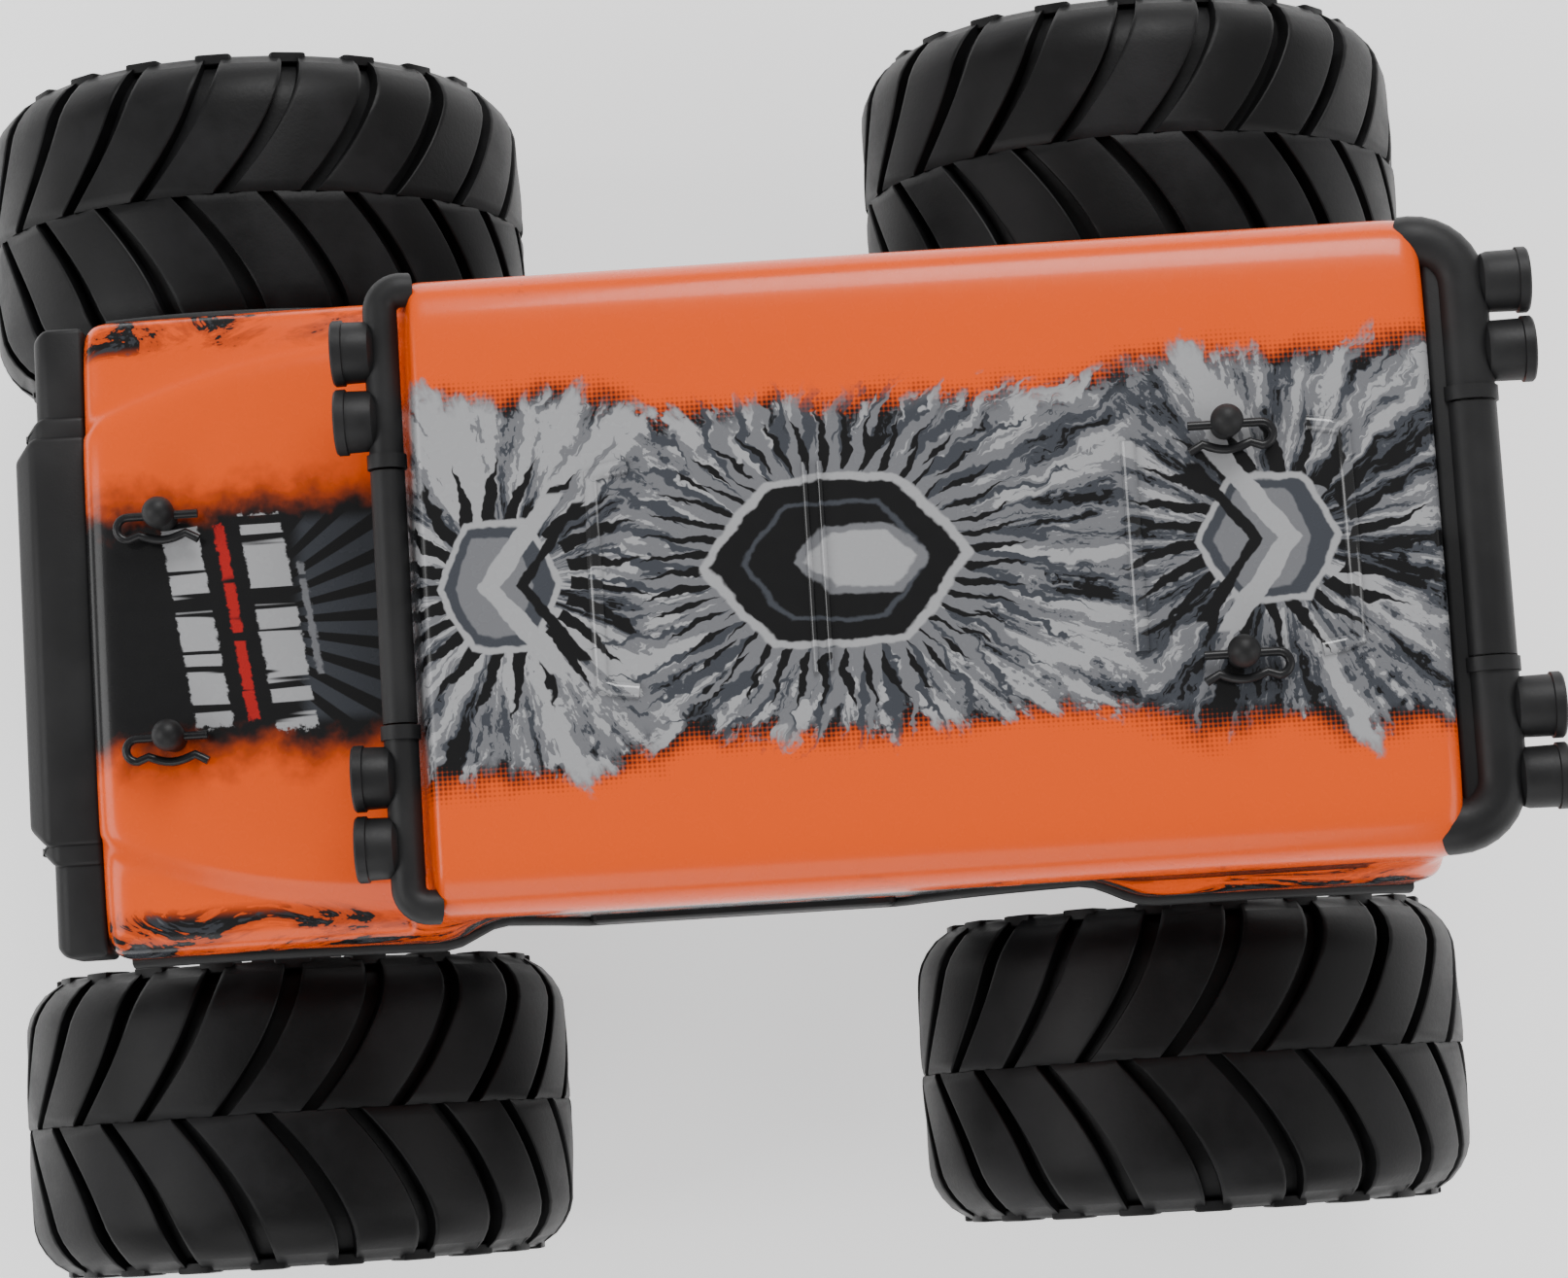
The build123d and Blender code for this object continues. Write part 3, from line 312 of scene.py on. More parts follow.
orange = (0.90, 0.092, 0.0008)
ink = {
    "black": (0.0065, 0.0065, 0.007),
    "slate": (0.050, 0.055, 0.066),
    "grey": (0.165, 0.168, 0.180),
    "pale": (0.360, 0.362, 0.372),
    "red": (0.42, 0.012, 0.012),
    "glass": (0.004, 0.004, 0.005),
}

# the print, in millimetres: where a row starts with two lengths, they are its centre along and across
artwork = {
    "bandHalf": 30.5, "bandFade": 8.5, "hoodHalf": 25.5, "hoodStart": 56, "dots": 1.1,
    "furTones": ((0.42, "slate"), (0.475, "grey"), (0.545, "pale")),
    # centre, stretch, count, start, length, fullness, twist, curl, tone; from the widest to the narrowest
    "rings": (
        (-26, -1, 1.30, 36, 15, 24, 0.85, 0.035, 0.30, "slate"),
        (-26, -1, 1.30, 30, 16, 20, 0.70, 0.045, 0.24, "grey"),
        (-26, -1, 1.30, 44, 17, 12, 0.70, -0.03, 0.18, "black"),
        (-26, -1, 1.30, 40, 16, 8, 0.85, 0.040, 0.14, "grey"),
        (36, 0, 1.10, 22, 11, 14, 0.70, 0.04, 0.25, "black"),
        (-108, 0, 1.25, 22, 11, 13, 0.70, -0.05, 0.25, "black"),
    ),
    # centre, stretch, size, tone
    "badges": (
        (-26, -1, 1.40, 16.4, "pale"), (-26, -1, 1.40, 15.0, "black"), (-26, -1, 1.40, 11.4, "slate"),
        (-26, -1, 1.40, 10.6, "black"), (-31, -1, 1.75, 6.6, "grey"), (-31, -1, 1.75, 5.4, "pale"),
        (37, 0, 0.85, 12.5, "pale"), (37, 0, 0.85, 11.2, "slate"), (38, 0, 0.70, 9.4, "grey"),
        (-107, 0, 1.00, 12.4, "pale"), (-107, 0, 1.00, 11.2, "slate"), (-106, 0, 0.85, 9.6, "grey"),
    ),
    "chevrons": ((36, 1), (-108, -1)),  # place along, way it points
    # place, half width, reach across, tone, how broken
    "strokes": ((92.5, 3.5, 20, "pale", 0.43), (85.2, 1.1, 19, "red", 0.38),
                (77.5, 3.9, 21, "pale", 0.43), (71.6, 0.7, 11, "grey", 0.46)),
    "lickTones": ((0.73, "black"), (0.785, "slate"), (0.835, "grey")),
}


# a ring of tapering tufts: 1 inside a tuft, 0 between, fading to nothing at the tips
def tufts(paint, angle, radius, count, start, length, fullness, twist):
    turn = angle * (count / math.tau) + radius * twist
    across = abs((turn.math("FRACT") - 0.5) * 2)
    reach = (radius - start) / length
    inside = paint.step((1 - reach) * fullness - across, -0.03, 0.06)
    return inside * paint.step(reach, -0.02, 0.0)


windows = {"low": shellHigh[2] - 29, "high": shellHigh[2] - 13}  # heights of the side windows' edges


# the printed body: orange, with a dark band of streaks down the middle of roof and hood
def bodyPrint(name, gloss):
    paint = Paint(name, Coat_Weight=gloss, Coat_Roughness=0.08, Specular_IOR_Level=0.30)
    where, (x, y, z) = paint.place()
    side = abs(y)
    wobble = paint.noise(where, 0.045, 4, 0.6) - 0.5
    fineWobble = paint.noise(where, 0.16, 3, 0.6) - 0.5

    # distances and angle from a centre, stretched along the truck
    def away(cx, cy, stretch):
        dx = (x - cx) / stretch
        dy = y - cy
        radius = (dx * dx + dy * dy).math("SQRT")
        return dx, dy, radius

    # fine streaks that run outwards from a centre
    def streaks(cx, cy, stretch, fineness, bend):
        dx, dy, radius = away(cx, cy, stretch)
        swirl = fineWobble * bend
        heading = paint.node("ShaderNodeCombineXYZ", None, {
            0: dx / (radius + 0.5) + swirl, 1: dy / (radius + 0.5) - swirl, 2: radius * 0.0045})
        return paint.noise(heading, fineness, 5, 0.62)

    # the roof band: black, fading to orange through a dot screen at its edges
    screen = paint.node("ShaderNodeTexVoronoi", {"voronoi_dimensions": "2D", "feature": "F1"},
                        {"Vector": where, "Scale": artwork["dots"], "Randomness": 0.0})
    swell = paint.step(abs(x + 34), 34, 62) * 5
    edge = artwork["bandHalf"] + swell + wobble * 15 + fineWobble * 5
    band = (edge - side) / artwork["bandFade"]
    roofOnly = paint.step(z, windows["high"] - 2, windows["high"] + 3)
    halftone = paint.step(band + (0.5 - screen) * 0.7, -0.35, 0.35) * roofOnly
    colour = paint.mix(halftone, orange, ink["black"])
    ahead = paint.step(x, 6, 15)
    behind = paint.step(x * -1, 76, 86)
    fur = streaks(-26, -1, 1.45, 8.0, 0.16)
    fur = fur + (streaks(36, 0, 1.1, 6.0, 0.16) - fur) * ahead
    fur = fur + (streaks(-108, 0, 1.2, 6.0, 0.16) - fur) * behind
    reachOver = paint.step(edge - 0.5 - side + (fur - 0.5) * 26, -1.5, 3.5) * roofOnly
    lit = paint.step(x, -78, -34) * 0.05
    for threshold, tone in artwork["furTones"]:
        streak = paint.step(fur + lit, threshold, threshold + 0.018)
        colour = paint.mix(streak * reachOver, colour, ink[tone])

    for cx, cy, stretch, count, start, length, fullness, twist, curl, tone in artwork["rings"]:
        dx, dy, radius = away(cx, cy, stretch)
        angle = dy.math("ARCTAN2", dx) + math.pi + fineWobble * curl
        tuft = tufts(paint, angle, radius + wobble * 9, count, start, length, fullness, twist)
        colour = paint.mix(tuft * paint.step(edge - side, -6, 2) * roofOnly, colour, ink[tone])

    # plain six-sided badges inside the rings
    for cx, cy, stretch, size, tone in artwork["badges"]:
        dx, dy, radius = away(cx, cy, stretch)
        facet = abs(dy).math("MAXIMUM", abs(dx) * 0.866 + abs(dy) * 0.5)
        radius = facet * 0.75 + radius * 0.25 + fineWobble * 2.5
        colour = paint.mix(paint.step(radius * -1, -size - 0.25, -size + 0.25), colour, ink[tone])

    # a pale chevron laid over each of the two outer badges
    for cx, lean in artwork["chevrons"]:
        bend = (x - cx) * lean + side * 0.75
        for offset, half, reach, tone in ((3, 2.3, 17, "pale"), (-3.2, 1.1, 15, "black")):
            chevron = paint.step(half - abs(bend - offset) + fineWobble * 3, -0.2, 0.2)
            colour = paint.mix(chevron * paint.step(reach - side, -0.3, 0.3), colour, ink[tone])

    # the hood: a black middle band, rays towards the windscreen and broken slanted brush strokes
    hoodEdge = artwork["hoodHalf"] + wobble * 10 + fineWobble * 6
    hoodColour = paint.mix(paint.step(hoodEdge - side + fineWobble * 6, -6.5, 6.0), orange, ink["black"])
    rayAngle = y.math("ARCTAN2", 94 - x)
    rays = paint.step(abs((rayAngle * 5.6 + 0.5).math("FRACT") - 0.5), 0.20, 0.24)
    rayZone = paint.step(x * -1, -80, -76) * paint.step(20 - side, -1, 2)
    hoodColour = paint.mix(rays * rayZone * 0.8, hoodColour, ink["slate"])
    stroke = x * 0.94 + y * 0.13
    ragged = paint.noise(where, 0.65, 4, 0.7) - 0.5
    for centre, half, reach, tone, gapAt in artwork["strokes"]:
        alongStroke = paint.node("ShaderNodeMapping", None, {"Vector": where, "Scale": (0.05, 1, 0.05),
                                                             "Location": (centre * 3, 0, 0)})
        gap = paint.step(paint.noise(alongStroke, 0.26, 2), gapAt, gapAt + 0.025)
        mark = paint.step(half - abs(stroke - centre) + ragged * 2.0, -0.1, 0.3)
        mark = mark * paint.step(reach - side + ragged * 5, -0.4, 0.4) * gap
        hoodColour = paint.mix(mark, hoodColour, ink[tone])
    onHood = paint.step(x, artwork["hoodStart"], artwork["hoodStart"] + 1)
    colour = paint.mix(onHood, colour, hoodColour)

    # dark licks along the lower sides, the fender tops and the roof's edges
    sideways = paint.node("ShaderNodeMapping", None, {"Vector": where, "Scale": (0.34, 0.8, 0.8),
                                                      "Rotation": (0, 0.5, 0)})
    licks = paint.noise(sideways, 0.13, 5, 0.66, 1.1)
    lowness = paint.step(z * -1, -176, -118) * 0.30 + paint.step(side, 52, 60) * 0.02
    flank = paint.step(side, 53.5, 57)
    for threshold, tone in artwork["lickTones"]:
        lick = paint.step(licks + lowness, threshold, threshold + 0.015) * flank
        colour = paint.mix(lick, colour, ink[tone])
    mist = paint.step(licks + lowness, 0.62, 0.72) * flank * 0.40
    colour = paint.mix(mist, colour, ink["black"])

    # 1 inside a rectangle between two lengths and two heights
    def pane(along, low, high, z0, z1):
        soft = 0.4
        inside = paint.step(along, low - soft, low + soft)
        inside = inside * paint.step(along * -1, -high - soft, -high + soft)
        return inside * paint.step(z, z0 - soft, z0 + soft) * paint.step(z * -1, -z1 - soft, -z1 + soft)

    slant = x - (z - 150) * -0.30
    low = windows["low"]
    high = windows["high"]
    glass = pane(slant, 2, 49, low, high) + pane(x, -52, -3.5, low, high) + pane(x, -124, -57, low, high)
    glass = glass * paint.step(side, 56.5, 57.0)
    ends = paint.step(x * -1, -tailX - 0.8, -tailX - 0.4) * pane(y, -44, 44, low, high)
    screenGlass = paint.step(x, 52.4, 52.8) * pane(x, 40, 60.4, low + 1, high + 1)
    screenGlass = screenGlass * paint.step(side * -1, -53, -52)
    glass = (glass + ends + screenGlass).math("MINIMUM", 1.0)
    paint.set("Base Color", paint.mix(glass, colour, ink["glass"]))
    orangePeel = paint.noise(where, 0.35, 2)
    paint.set("Roughness", 0.27 + (orangePeel - 0.5) * 0.08)
    paint.bump(orangePeel, 0.05, 0.0002)
    return paint.material


def clearLens():
    paint = Paint("clear_lens", Transmission_Weight=0.0, IOR=1.45, Coat_Weight=0.8)
    where, _ = paint.place()
    facet = paint.node("ShaderNodeTexVoronoi", {"feature": "F1"}, {"Vector": where, "Scale": 0.7})
    paint.set("Base Color", paint.mix(paint.step(facet, 0.1, 0.6), (0.75, 0.76, 0.78), (0.35, 0.36, 0.38)))
    paint.set("Roughness", 0.08 + facet * 0.1)
    paint.bump(facet, 0.4, 0.0003)
    return paint.material


bodyPaint = bodyPrint("body_print", 0.18)
ribPaint = bodyPrint("rib_print", 1.0)
rubber = tyreRubber()
blackTrim = mouldedPlastic("black_trim", (0.010, 0.010, 0.0105), 0.50)
blackGloss = mouldedPlastic("black_gloss", (0.010, 0.010, 0.011), 0.28, 0.3)
greyNylon = mouldedPlastic("grey_nylon", (0.030, 0.030, 0.033), 0.55, 1.5)
rimPlastic = mouldedPlastic("rim_plastic", (0.020, 0.020, 0.022), 0.33, 0.4)
naturalNylon = mouldedPlastic("natural_nylon", (0.60, 0.57, 0.48), 0.45)
batteryWrap = mouldedPlastic("battery_wrap", (0.010, 0.045, 0.22), 0.3, 0.6)
steel = bareMetal("plain_steel", (0.55, 0.55, 0.57))
motorSteel = bareMetal("motor_can", (0.42, 0.43, 0.45), 0.36)
shockMetal = bareMetal("shock_metal", (0.32, 0.33, 0.36), 0.3)
springPaint = mouldedPlastic("spring_paint", (0.45, 0.012, 0.008), 0.3, 0.4)
lensGlass = clearLens()
print("materials made")

# the body skin, in millimetres
shell = {
    "hoodTop": shellHigh[2] - 28.3, "roofTop": shellHigh[2] - 0.9, "skirt": shellLow[2] + 0.6,
    "half": shellHigh[1], "frontArch": 74.2, "rearArch": 69.2, "archLift": 4.0, "wall": 1.2,
    "screenFoot": 60.0, "screenHead": 51.4, "spacing": 4.5, "roofHalf": 60.9, "doorHalf": 58.2,
}


# height of the shell's bottom edge, which rises over the wheels
def lowerEdge(x):
    height = shell["skirt"]
    for centre, radius in ((axleHalf, shell["frontArch"]), (-axleHalf, shell["rearArch"])):
        away = abs(x - centre)
        if away < radius:
            height = max(height, axleHeight + shell["archLift"] + math.sqrt(radius ** 2 - away ** 2))
    return height


def ramp(value, start, end):
    share = min(1.0, max(0.0, (value - start) / (end - start)))
    return share * share * (3 - 2 * share)


# half the body's width at its lower edge: narrow at the doors, wide over the wheels
def lowerHalf(x):
    door = ramp(x, 56, 44) * ramp(x, -84, -70)
    return shell["half"] + (shell["doorHalf"] - shell["half"]) * door


# half of the body's outline across the truck, from the middle of the top to the lower edge
def halfSection(x):
    low = lowerEdge(x)
    half = shell["half"]
    hoodZ = shell["hoodTop"] - 0.0006 * max(0, x - 60) ** 2
    raised = 54.0 - 13.0 * (max(0, x - 60) / 60) ** 2
    hood = [(0, hoodZ), (raised * 0.5, hoodZ - 0.15), (raised - 5, hoodZ - 0.5), (raised - 1.4, hoodZ - 1.0),
            (raised + 0.6, hoodZ - 2.8), (raised + 2.6, hoodZ - 3.7), (raised * 0.35 + 38.5, hoodZ - 4.1),
            (61.0, hoodZ - 5.0), (62.6, hoodZ - 7.4), (half, hoodZ - 11)]
    roofZ = shell["roofTop"]
    wide = shell["roofHalf"]
    belt = min(wide - 0.2, lowerHalf(x) + 0.8)
    cab = [(0, roofZ), (28, roofZ - 0.05), (49, roofZ - 0.25), (55.6, roofZ - 1.4), (59.3, roofZ - 4.4),
           (wide, roofZ - 8.6), (wide + 0.1, roofZ - 13), (wide - 0.3, roofZ - 22), (belt, roofZ - 30),
           (lowerHalf(x) + 0.4, roofZ - 35)]
    span = shell["screenFoot"] - shell["screenHead"]
    blend = min(1, max(0, (shell["screenFoot"] - x) / span))
    points = [(a[0] + (b[0] - a[0]) * blend, a[1] + (b[1] - a[1]) * blend) for a, b in zip(hood, cab)]
    lastY, lastZ = points[-1]
    for share in (0.25, 0.55, 0.85, 1.0):
        points.append((lastY + (lowerHalf(x) - lastY) * share, lastZ + (low - lastZ) * share))
    return points


# places along the body where its outline is taken, closer together at the windscreen and the ends
def stations():
    places = [noseX - 0.05, noseX - 0.5, noseX - 1.6, noseX - 3.4]
    x = noseX - 7
    while x > shell["screenFoot"] + 4:
        places.append(x)
        x -= shell["spacing"]
    places += [62.0, 60.4, 59.4, 56.5, 53.0, 51.7, 50.9, 48.6]
    x = 44.0
    while x > tailX + 9:
        places.append(x)
        x -= shell["spacing"]
    places += [tailX + 4.5, tailX + 2.2, tailX + 0.8, tailX + 0.05]
    return places


# how far the skin pulls in close to the nose and the tail, to round their edges
def endDrop(x):
    gap = min(noseX - x, x - tailX)
    radius = 4.0
    if gap >= radius:
        return 0.0
    return radius - math.sqrt(max(0.0, radius ** 2 - (radius - gap) ** 2))


def buildShell():
    bm = bmesh.new()
    row = None
    for x in stations():
        halfPoints = halfSection(x)
        drop = endDrop(x)
        outline = [(-y, z) for y, z in reversed(halfPoints)] + halfPoints[1:]
        low = lowerEdge(x)
        placed = []
        for y, z in outline:
            inward = y - math.copysign(min(drop, abs(y)), y) if abs(y) > 40 else y
            placed.append(Vector(((x + midX) * mm, inward * mm, max(low, z - drop) * mm)))
        if row is None:
            verts = [bm.verts.new(where) for where in placed]
            row = [bm.edges.new(pair) for pair in zip(verts, verts[1:])]
            first = row
            lastVerts = verts
        else:
            made = bmesh.ops.extrude_edge_only(bm, edges=row)["geom"]
            row = [item for item in made if isinstance(item, bmesh.types.BMEdge)]
            fresh = [item for item in made if isinstance(item, bmesh.types.BMVert)]
            ordered = orderAlong(fresh, lastVerts)
            for vert, where in zip(ordered, placed):
                vert.co = where
            lastVerts = ordered
    # close the nose and the tail with walls that step inwards to the middle of the bottom edge
    for ends in (first, row):
        wall = ends
        for squeeze in (0.9, 0.55, 0.0):
            made = bmesh.ops.extrude_edge_only(bm, edges=wall)["geom"]
            wall = [item for item in made if isinstance(item, bmesh.types.BMEdge)]
            fresh = [item for item in made if isinstance(item, bmesh.types.BMVert)]
            bottom = min(v.co.z for v in fresh)
            for vert in fresh:
                vert.co.y *= squeeze
                vert.co.z = bottom + (vert.co.z - bottom) * squeeze
    bmesh.ops.remove_doubles(bm, verts=bm.verts, dist=weld["skin"] * mm)
    bmesh.ops.recalc_face_normals(bm, faces=bm.faces)
    topFace = max(bm.faces, key=lambda face: face.calc_center_median().z)
    if topFace.normal.z < 0:
        bmesh.ops.reverse_faces(bm, faces=bm.faces)
    mesh = bpy.data.meshes.new("body_skin")
    bm.to_mesh(mesh)
    bm.free()
    piece = place(mesh, "body_skin", bodyPaint, "chassis", ("body_shell",), 60)
    smooth = piece.modifiers.new("smooth", "SUBSURF")
    smooth.levels = smooth.render_levels = 2
    thick = piece.modifiers.new("wall", "SOLIDIFY")
    thick.thickness = shell["wall"] * mm
    thick.offset = -1
    return piece


# puts extruded points in the order of the points they came from
def orderAlong(fresh, previous):
    near = {}
    for vert in fresh:
        for edge in vert.link_edges:
            near[edge.other_vert(vert)] = vert
    return [near[vert] for vert in previous]


buildShell()
print("body skin made")

# each rib: place along, which way its tips turn, width
ribs = {"half": 19.8, "rise": 1.35, "bend": 7.0,
        "places": ((19.0, -1, 3.2), (-21.2, 0, 1.3), (-24.0, 0, 1.3), (-82.0, 0, 3.2), (-122.5, 1, 3.2))}


# moulded ribs across the roof; the first and last turn inwards at their tips
def buildRibs():
    whole = bmesh.new()
    for x, turn, width in ribs["places"]:
        z = shell["roofTop"] - 0.25
        points = [(x, y, z) for y in (-ribs["half"], 0, ribs["half"])]
        if turn:
            tip = ribs["bend"] * turn
            outer = [(x + tip, ribs["half"] + 1.5, z), (x + tip * 0.4, ribs["half"] + 0.9, z)]
            points = [(a, -b, c) for a, b, c in outer] + points + outer[::-1]
        rib = barFrom(points, width / 2, resolution=3)
        lowest = z * mm
        for vert in rib.verts:
            vert.co.z = lowest + (vert.co.z - lowest) * ribs["rise"] / (width / 2) * 0.9
        join(whole, rib)
    finish(whole, "roof_ribs", ribPaint, "chassis", (), 60)


buildRibs()

trim = {"radius": 1.5, "out": 0.2, "step": 3.0, "ends": 4,
        "sillFoot": 1, "sillTop": 10, "sillOut": 1.6, "sillIn": 0.5, "sillEdge": 1.6,
        "sillRise": 36, "sillPast": 2}


# the black lip along the shell's lower edges
def buildArchTrim():
    whole = bmesh.new()
    run = noseX - tailX - 2 * trim["ends"]
    count = int(run / trim["step"])
    for side in (-1, 1):
        points = []
        for index in range(count + 1):
            x = noseX - trim["ends"] - index * run / count
            points.append((x, side * (lowerHalf(x) + trim["out"]), lowerEdge(x) + trim["radius"]))
        join(whole, barFrom(points, trim["radius"], resolution=3))
    finish(whole, "arch_trim", blackTrim, "chassis", (), 50)
    whole = bmesh.new()
    front = axleHalf - math.sqrt(shell["frontArch"] ** 2 - trim["sillRise"] ** 2) - trim["sillPast"]
    back = -axleHalf + math.sqrt(shell["rearArch"] ** 2 - trim["sillRise"] ** 2) + trim["sillPast"]
    heights = (shell["skirt"] + trim["sillFoot"], shell["skirt"] + trim["sillTop"])
    for side in (-1, 1):
        out = side * (shell["doorHalf"] + trim["sillOut"])
        inner = side * (shell["doorHalf"] - trim["sillIn"])
        join(whole, softBlock((back, front), sorted((inner, out)), heights, trim["sillEdge"], 4))
    finish(whole, "side_sills", blackTrim, "chassis", (), 50)


buildArchTrim()


guardLow, guardHigh = corners("grille_guard")
guard = {"half": 40.5, "slope": 3.9, "round": 1.1, "wing": 62.3, "wingBack": 4.6, "wingHeight": (16, 1.5),
         "wingSlope": 2.0, "cheekBack": 2.2, "cheekHeight": (31, 0.7), "cheekSlope": 3.2,
         "slots": 3, "slotGap": 4, "slotFoot": 6, "slotInset": 7, "slotDepth": 2.4}


# a block whose top front edge slopes, with softened edges
def wedge(xSpan, ySpan, zSpan, slope):
    bm = block(xSpan, ySpan, zSpan)
    front = (xSpan[1] + midX - 0.1) * mm
    top = (zSpan[1] - 0.1) * mm
    level = 0.1 * mm
    ends = [e for e in bm.edges if all(v.co.x > front for v in e.verts)
            and (all(v.co.z > top for v in e.verts) or abs(e.verts[0].co.y - e.verts[1].co.y) < level)]
    bmesh.ops.bevel(bm, geom=ends, offset=slope * mm, segments=1, profile=0.5, affect="EDGES", material=-1)
    corner = 0.3  # radians between faces, past which an edge is softened
    sharp = [e for e in bm.edges if e.is_manifold and e.calc_face_angle() > corner]
    softEdges(bm, sharp, guard["round"] * mm)
    return bm


def buildGuard():
    back = noseX + 0.05
    front = guardHigh[0] - midX
    top = guardHigh[2]
    half = guard["half"]
    whole = wedge((back, front), (-half, half), (guardLow[2], top), guard["slope"])
    for side in (-1, 1):
        down, drop = guard["wingHeight"]
        across = sorted((side * (half - 4), side * guard["wing"]))
        join(whole, wedge((back, front - guard["wingBack"]), across, (top - down, top - drop),
                          guard["wingSlope"]))
        down, drop = guard["cheekHeight"]
        across = sorted((side * (half - 3), side * (half + 4)))
        join(whole, wedge((back, front - guard["cheekBack"]), across, (top - down, top - drop),
                          guard["cheekSlope"]))
    finish(whole, "nose_guard", blackTrim, "chassis", ("grille_guard",), 40)
    whole = bmesh.new()
    pitch = (top - guardLow[2] - 14) / guard["slots"]
    reach = half - guard["slotInset"]
    for index in range(guard["slots"]):
        z = guardLow[2] + guard["slotFoot"] + index * pitch
        join(whole, softBlock((front - guard["slotDepth"], front - 0.02), (-reach, reach),
                              (z, z + pitch - guard["slotGap"]), guard["round"]))
    finish(whole, "nose_bars", blackGloss, "chassis", (), 45)


buildGuard()
print("nose made")


barsLow, barsHigh = corners("roof_light_bars")
bars = {"frontRadius": 3.3, "rearRadius": 5.2, "split": 24.0, "gap": 0.5, "collar": 0.5, "collarLength": 2.6,
        "lampRadius": 6.3, "frontLamp": 6.0, "rearLamp": 7.6, "sink": 2.0, "lampRows": (33.9, 47.2),
        "frontEnd": 58.7, "rearEnd": 55.6, "frontBend": 4.0, "rearBend": 9.0,
        "frontHeight": shellHigh[2] - 6.3, "rearHeight": shellHigh[2] - 8.3}


# points that carry a bar round a quarter turn and on to a point behind
def bentEnd(x, y, back, radius, side, z, steps=8):
    points = []
    for index in range(steps + 1):
        turn = math.pi / 2 * index / steps
        across = y - radius + radius * math.sin(turn)
        points.append((x + back * radius * (1 - math.cos(turn)), side * across, z))
    return points


def buildBars():
    frontX = barsHigh[0] - midX - bars["frontLamp"] - bars["frontRadius"]
    rearX = barsLow[0] - midX + bars["rearLamp"] + bars["rearRadius"]
    whole = bmesh.new()
    lenses = bmesh.new()
    for which, x, facing in (("front", frontX, 1), ("rear", rearX, -1)):
        keys = ("Height", "Radius", "End", "Bend", "Lamp")
        z, radius, end, bend, lampLength = [bars[which + key] for key in keys]
        join(whole, barFrom([(x, -bars["split"], z), (x, bars["split"], z)], radius, resolution=8))
        collar = radius + bars["collar"]
        for side in (-1, 1):
            start = bars["split"] + bars["gap"]
            points = [(x, side * start, z)] + bentEnd(x, end, -facing, bend, side, z)
            points.append((x - facing * (bend + 1.5), side * end, z - 0.6))
            join(whole, barFrom(points, radius, resolution=8))
            collarEnds = (start - 0.1, start + bars["collarLength"])
            join(whole, barFrom([(x, side * y, z) for y in collarEnds], collar, resolution=8))
            for lampY in bars["lampRows"]:
                lampStart = x + facing * (radius - bars["sink"])
                buildLamp(whole, lenses, (lampStart, side * lampY, z), lampLength + bars["sink"], facing)
                stalk = barFrom([(x, side * lampY, z - radius * 0.2), (lampStart + facing, side * lampY, z)],
                                radius * 0.7, resolution=5)
                join(whole, stalk)
    backing = (bars["rearHeight"] - 4.5, bars["rearHeight"] + 2.6)
    join(whole, softBlock((rearX + bars["rearRadius"] - 2, tailX - 0.05), (-bars["rearEnd"], bars["rearEnd"]),
                          backing, 0.9))
    finish(whole, "light_bars", blackTrim, "chassis", ("roof_light_bars",), 40)
    finish(lenses, "lamp_glass", lensGlass, "chassis", ("lamp_lenses",), 40)


# a round lamp can with a stepped rim, a dished back and a domed lens
def buildLamp(whole, lenses, spot, length, facing):
    x, y, z = spot
    r = bars["lampRadius"]
    can = [(0.0, 0.0), (0.0, r * 0.62), (0.9, r * 0.86), (2.0, r - 0.5), (length - 2.3, r - 0.4),
           (length - 2.1, r), (length - 0.4, r), (length, r - 0.35), (length, r - 1.0),
           (length - 1.2, r - 1.2), (length - 1.6, 0.0)]
    lens = [(length - 1.7, 0.0), (length - 1.7, r - 1.25), (length - 1.2, r - 1.3), (length - 0.75, r - 2.4),
            (length - 0.5, r * 0.3), (length - 0.45, 0.0)]
    for outline, target in ((can, whole), (lens, lenses)):
        part = lathe(outline, 40, "X")
        if facing < 0:
            bmesh.ops.scale(part, verts=part.verts, vec=(-1, 1, 1))
        bmesh.ops.recalc_face_normals(part, faces=part.faces)
        shift(part, (x + midX) * mm, y * mm, z * mm)
        join(target, part)


buildBars()
print("light bars made")


clip = {"wire": 0.85, "leg": 9.0, "tail": 7.0, "spread": 4.4, "bend": 2.2, "grip": 4.5, "bulge": 1.2,
        "frontAt": 103.8, "rearAt": -100.2, "across": 21.6, "lift": 0.75}


# each clip is one bent wire with a bulge that grips the post
def buildClips():
    whole = bmesh.new()
    clipLow, clipHigh = corners("body_clips")
    places = ((clip["frontAt"], clipLow[2] + clip["lift"]), (clip["rearAt"], clipHigh[2] - clip["lift"]))
    straight = clip["leg"] - 2.4
    spread = clip["spread"]
    for x, z in places:
        away = math.copysign(1, x)
        for y in (-clip["across"], clip["across"]):
            points = [(x - away * clip["tail"], y, z), (x + away * straight, y, z)]
            for index in range(1, 12):
                turn = math.pi * index / 12
                points.append((x + away * (straight + clip["bend"] * math.sin(turn)),
                               y + spread / 2 * (1 - math.cos(turn)), z))
            points.append((x + away * straight, y + spread, z))
            for index in range(0, 9):
                share = index / 8
                bulge = clip["bulge"] * math.sin(math.pi * share) - 0.8
                points.append((x + away * clip["grip"] * (1 - 2 * share), y + spread + bulge, z))
            points.append((x - away * clip["tail"], y + spread + 0.6, z))
            join(whole, barFrom(points, clip["wire"], resolution=3))
    finish(whole, "body_clip_wires", blackGloss, "chassis", ("body_clips",), 60)


buildClips()


